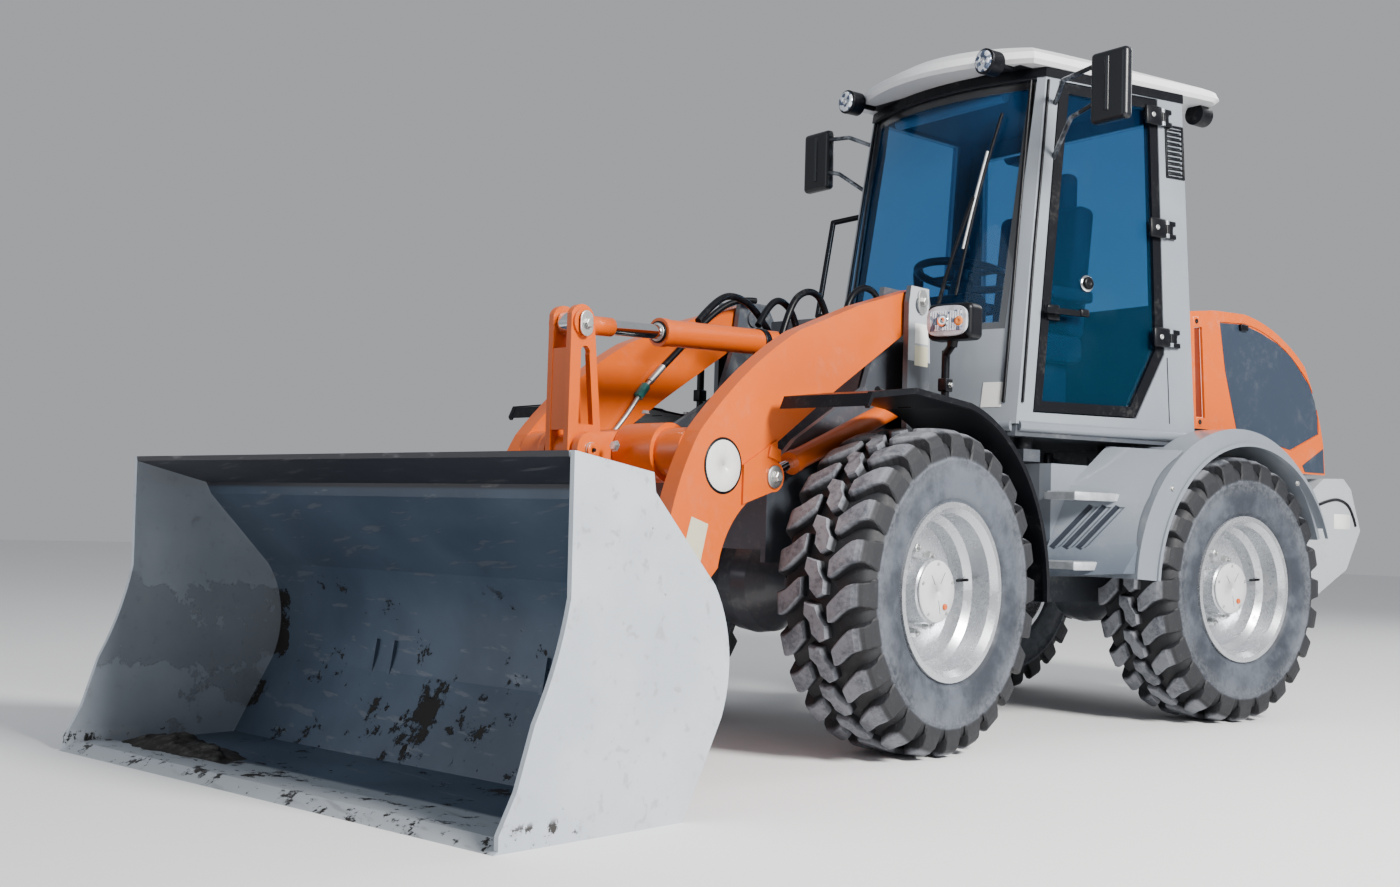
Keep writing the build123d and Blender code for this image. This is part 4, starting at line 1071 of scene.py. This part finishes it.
def cab_band(name, low, high, grow, finish):
    """Thin band round the cab between two heights."""
    bm = bmesh.new()
    rings = [[bm.verts.new((x, y, z)) for x, y in cab_outline(z, out)]
             for z, out in ((low, -0.002), (low, grow), (high, grow), (high, -0.002))]
    skin(bm, rings + rings[:1])
    new_piece(name, from_bm(bm, finish, smooth=False), "rear_frame")


def louvre():
    """Air grille in the left rear pillar."""
    y, z = LOUVRE
    rails = [wall_block(y, z + offset, (0.006, 0.098, 0.010), 0, 0.002) for offset in (-0.104, 0.104)]
    posts = [wall_block(y + offset, z, (0.006, 0.010, 0.210), 0, 0.002) for offset in (-0.044, 0.044)]
    slat = rounded_box((0, -0.038, -0.0045), (0.004, 0.038, 0.0045), 0.0015, BLACK, 1)
    slats = row_of(slat, 10, (0, 0, -0.090), (0, 0, 0.020), BLACK)
    slats.transform(on_wall(y, z))
    new_piece("cab_louvre", joined(*rails, *posts, slats), "rear_frame")


def curved_plate(x0, x1, z0, z1, finish):
    """Thin blank plate that lies on the bowed front."""
    bm = bmesh.new()
    columns = [x0 + (x1 - x0) * k / 6 for k in range(7)]
    skin(bm, [[bm.verts.new((x, front_y(x, z, 0.003), z)) for x in columns] for z in (z0, z1)], closed=False)
    bmesh.ops.recalc_face_normals(bm, faces=bm.faces)
    bmesh.ops.solidify(bm, geom=bm.faces[:], thickness=0.0015)
    return from_bm(bm, finish, smooth=False)


def cab_fittings():
    """Rubber strips on the front pillars, sill rolls, seam, blank label and the trim under the roof."""
    corner = ((-0.035, 1.20), (0.030, 1.72), (0.085, 2.08), (0.135, 2.45))
    side_line = [(side_x(y, z) + 0.004, y, z) for y, z in corner]
    front_line = [(x - 0.055, front_y(x - 0.06, z, 0.004), z) for x, y, z in side_line]
    strips = [tube_along(side_line, 0.006, BLACK, 8), tube_along(front_line, 0.007, BLACK, 8)]
    roll, wall, inset, radius = 1.112, 1.118, 0.006, 0.020
    side_roll = [(side_x(y, wall) - inset, y, roll) for y in (-0.05, 0.35, 0.81)]
    front_roll = [(x, front_y(x, wall) + inset, roll) for x in (-0.52, -0.25, 0.0, 0.25, 0.52)]
    sill, front_sill = [tube_along(line, radius, CAB_GREY, 16) for line in (side_roll, front_roll)]
    seam = tube_along([(side_x(0.69, z) + 0.0005, 0.69, z) for z in (1.16, 1.30, 1.42)], 0.002, BLACK, 6)
    label = curved_plate(0.400, 0.478, 1.182, 1.276, WHITE)
    new_piece("cab_fittings", joined(mirrored(joined(*strips, sill)), front_sill, seam, label), "rear_frame")
    cab_band("cab_top_trim", 2.462, 2.499, 0.004, BLACK)


def wiper():
    """Wiper arm and blade on the windscreen."""
    line = [(0.245, 1.62), (0.262, 1.80), (0.285, 2.00), (0.315, 2.18), (0.345, 2.33)]
    blade = tube_along([(x, front_y(x, z, 0.012), z) for x, z in line], 0.007, BLACK, 8)
    back = tube_along([(x, front_y(x, z, 0.026), z) for x, z in line[1:4]], 0.006, ZINC, 8)
    reach = ((0.165, 1.50, 0.02), (0.20, 1.66, 0.045), (0.285, 2.0, 0.032))
    arm = tube_along([(x, front_y(x, z, out), z) for x, z, out in reach], 0.008, BLACK, 8)
    boss = disc((0.165, front_y(0.165, 1.50, -0.005), 1.50), (0, -1, 0.1), 0.026, 0.035, BLACK, 0.004)
    new_piece("windscreen_wiper", joined(blade, back, arm, boss), "rear_frame")


def cab_inside():
    """Dashboard, side console with its lever, wheel knob, sun blind and arm rests."""
    dash = rounded_box((-0.17, 0.04, 1.52), (0.17, 0.17, 1.66), 0.03, BLACK, 4)
    console = rounded_box((-0.45, 0.26, 1.20), (-0.29, 0.66, 1.62), 0.03, BLACK, 3)
    lever = tube_along([(-0.36, 0.32, 1.60), (-0.36, 0.30, 1.70), (-0.355, 0.29, 1.76)], 0.012, BLACK)
    grip = lathe([(0, 0.001), (0.005, 0.020), (0.06, 0.024), (0.10, 0.018), (0.11, 0.001)], BLACK, 24)
    knob = lathe([(0, 0.001), (0.0, 0.012), (0.03, 0.022), (0.05, 0.016), (0.055, 0.001)], BLACK, 24)
    upright = Matrix.Rotation(math.radians(-90), 4, "Y")
    grip.transform(Matrix.Translation((-0.355, 0.288, 1.75)) @ upright)
    knob.transform(Matrix.Translation((0.13, 0.07, 1.80)) @ upright)
    blind = tube_along([(-0.30, 0.10, 2.415), (0.30, 0.10, 2.415)], 0.022, PALE_GREY, 16, False)
    rests = [rounded_box((x - 0.035, 0.36, 1.66), (x + 0.035, 0.64, 1.71), 0.015, SEAT_CLOTH)
             for x in (-0.27, 0.27)]
    new_piece("cab_inside", joined(dash, console, lever, grip, knob, blind, *rests), "rear_frame")


def cab_lamps():
    """Lenses of the working lamps, rims and mirror glass."""
    ahead, behind = (0, -1, 0), (0, 1, 0)
    parts = []
    for side in (-1, 1):
        x, z = side * 0.390, 2.494
        parts += [disc((x, -0.108, z), ahead, 0.049, 0.008, BLACK, 0.002),
                  disc((x, -0.1155, z), ahead, 0.041, 0.002, CHROME, 0.0005),
                  disc((x, -0.117, z), ahead, 0.041, 0.008, LENS, 0.004),
                  disc((x, -0.118, z), ahead, 0.014, 0.010, CHROME, 0.004),
                  disc((side * 0.505, 1.074, 2.468), behind, 0.038, 0.006, LENS, 0.003)]
    for x, y in ((0.854, 0.081), (-0.784, 0.101)):
        parts.append(rounded_box((x - 0.070, y, 2.222), (x + 0.070, y + 0.002, 2.448), 0.0008, MIRROR, 1))
    new_piece("cab_lamps_and_mirrors", joined(*parts), "rear_frame")


# ---------------------------------------------------------------- hood, counterweight, steps
HOOD_FACE = 0.620
GUARD_FACE = 0.806              # outer side of the rear mudguards
RECESS_FACE = HOOD_FACE - 0.0125


def hood_panels():
    """Dark side panels, their latch, and a dark orange plate as painted shade in the upright recess ahead of
    them, with the recess's two bosses.
    """
    arc = [(1.736, 1.180), (1.732, 1.250), (1.712, 1.316), (1.668, 1.386), (1.607, 1.438)]
    top = [(1.53, 1.500), (1.43, 1.546), (1.32, 1.578), (1.200, 1.602)]
    outline = [(1.040, 1.594), (1.080, 1.400), (1.164, 1.154), (1.536, 1.102), *arc, *top]
    panel = prism(outline, HOOD_FACE - 0.006, HOOD_FACE - 0.0015, PANEL_BLUE, bevel=0.001)
    low = prism([(1.620, 1.040), (1.772, 1.118), (1.782, 1.012), (1.640, 1.012)],
                HOOD_FACE, HOOD_FACE + 0.0015, PANEL_BLUE)
    latch = rounded_box((HOOD_FACE - 0.002, 1.165, 1.575), (HOOD_FACE + 0.012, 1.215, 1.600), 0.003, BLACK)
    # Plate over the recess floor in dark orange, as painted shade.
    recess = prism([(0.874, 1.556), (0.918, 1.562), (0.945, 1.204), (0.893, 1.200)],
                   RECESS_FACE, RECESS_FACE + 0.001, RECESS_SHADE_ORANGE)
    bosses = []
    for y, z in ((0.882, 1.585), (0.912, 1.182)):
        face, half = HOOD_FACE + 0.002, 0.022
        boss = rounded_box((face - 0.016, y - half, z - half), (face, y + half, z + half), 0.008, ORANGE)
        bosses += [boss, disc((face, y, z), OUT, 0.010, 0.002, BLACK, 0.0005)]
    new_piece("hood_panels", mirrored(joined(panel, low, latch, recess, *bosses)), "engine_hood")


def rear_fittings():
    """Blank plates and seam of the counterweight, serrated steps, mudguard bolts and battery switch."""
    plate = rounded_box((0.619, 1.862, 0.775), (0.6215, 1.985, 0.84), 0.001, WHITE, 1)
    line = ((1.735, 0.874), (1.84, 0.905), (1.93, 0.90), (1.995, 0.86), (2.025, 0.79))
    seam = tube_along([(0.6205, y, z) for y, z in line], 0.007, BLACK, 8)
    teeth = []
    for tread, count in ((0.616, 18), (0.872, 23)):
        tooth = prism([(-0.004, 0), (0.004, 0), (0, 0.006)], 0.565, 0.698, GALVANISED)
        teeth.append(row_of(tooth, count, (0, 0.085, tread - 0.0005), (0, 0.0105, 0), GALVANISED))
    edge = [rounded_box((0.699, 0.076, z), (0.703, 0.30, z + 0.030), 0.001, GALVANISED, 1)
            for z in (0.588, 0.844)]
    bolts = [hex_bolt((GUARD_FACE, y, z), OUT, 0.016, 0.008, ZINC) for y, z in ((0.50, 0.90), (1.30, 0.95))]
    new_piece("rear_fittings", mirrored(joined(plate, seam, *teeth, *edge, *bolts)), "rear_frame")
    switch = rounded_box((0.395, 0.245, 0.905), (0.420, 0.285, 1.03), 0.010, BLACK, 3)
    new_piece("battery_switch", switch, "rear_frame")


# ---------------------------------------------------------------- mud in the bucket
MUD_CORNER = (-0.945, -2.93, 0.0135)
MUD_SIZE = (0.56, 0.20, 0.045)


def mud_point(u, v):
    """Surface of the mud heap at shares u and v of its length and width."""
    swell = math.sin(math.pi * u) * math.sin(math.pi * v)
    lumps = noise.noise(Vector((u * 9, v * 4, 0.3))) * 0.5
    crumbs = noise.noise(Vector((u * 31, v * 14, 1.7))) * 0.25
    rough = lumps + crumbs
    height = max(0.0, swell ** 0.8 + rough * 0.9 * swell - 0.12 * (1 - swell))
    (x, y, z), (length, width, depth) = MUD_CORNER, MUD_SIZE
    return x + length * u, y + width * v + 0.05 * rough, z + height * depth


def mud_heap():
    """Low heap of dried mud in the bucket's right-hand corner."""
    bm = bmesh.new()
    columns, rows = 60, 22
    grid = [[bm.verts.new(mud_point(i / (columns - 1), j / (rows - 1))) for i in range(columns)]
            for j in range(rows)]
    skin(bm, grid, closed=False)
    new_piece("bucket_mud", from_bm(bm, DRIED_MUD), "bucket", FRONT)


# ---------------------------------------------------------------- stage, lights, camera
SKY_STRENGTH = 0.44
EYE_PLACE = (4.5669, -4.4518, 0.7127)
YAW, PITCH, ROLL = math.radians(53.78), math.radians(2.93), math.radians(1.66)
SENSOR_WIDTH, FOCAL_LENGTH = 36, 40.93      # mm


def stage():
    """Pale floor and a soft, slightly blue sky."""
    bpy.ops.mesh.primitive_plane_add(size=60, location=(0, 0, 0))
    floor = bpy.context.object
    floor.name = "floor"
    floor.data.materials.append(Finish("pale_floor").done(base_color=rgb(0.86, 0.86, 0.86), roughness=0.8))
    world = bpy.data.worlds.new("studio")
    world.use_nodes = True
    sky = world.node_tree.nodes["Background"].inputs
    sky["Color"].default_value = rgb(0.92, 0.95, 1.0)
    sky["Strength"].default_value = SKY_STRENGTH
    bpy.context.scene.world = world


def area_light(name, spot, aim, size, watts, colour=(1, 1, 1)):
    """Round soft light at a spot, aimed at a point."""
    data = bpy.data.lights.new(name, "AREA")
    data.shape = "DISK"
    data.size = size
    data.energy = watts
    data.color = colour
    lamp = bpy.data.objects.new(name, data)
    lamp.location = spot
    lamp.rotation_euler = (Vector(aim) - Vector(spot)).to_track_quat("-Z", "Y").to_euler()
    bpy.context.scene.collection.objects.link(lamp)


def camera():
    """Low view of the left front corner, rolled a little."""
    look = Vector((-math.sin(YAW) * math.cos(PITCH), math.cos(YAW) * math.cos(PITCH), math.sin(PITCH)))
    right = Vector((math.cos(YAW), math.sin(YAW), 0))
    up = right.cross(look)
    side = math.cos(ROLL) * right + math.sin(ROLL) * up
    top = math.cos(ROLL) * up - math.sin(ROLL) * right
    data = bpy.data.cameras.new("camera")
    data.sensor_width = SENSOR_WIDTH
    data.lens = FOCAL_LENGTH
    data.clip_end = 200
    eye = bpy.data.objects.new("camera", data)
    eye.matrix_world = Matrix.Translation(EYE_PLACE) @ Matrix((side, top, -look)).transposed().to_4x4()
    bpy.context.scene.collection.objects.link(eye)
    bpy.context.scene.camera = eye


tyres()
wheel_centres()
arm_fittings()
arm_pipe()
tower_fittings()
rocker_fittings()
tilt_cylinder_fittings()
hoses()
front_guard_fittings()
door_fittings()
hinge_leaves()
louvre()
cab_fittings()
wiper()
cab_inside()
cab_lamps()
hood_panels()
rear_fittings()
mud_heap()
stage()
area_light("key", (6.5, -0.4, 4.6), (0.2, -0.6, 0.8), 2.0, 1150, (1.0, 0.98, 0.95))
area_light("fill", (-1.0, -8.0, 3.0), (0, -1.0, 0.8), 5.0, 110, (0.85, 0.92, 1.0))
area_light("rim_light", (0.5, 8.0, 6.0), (0, 0.5, 1.2), 4.0, 300)
camera()
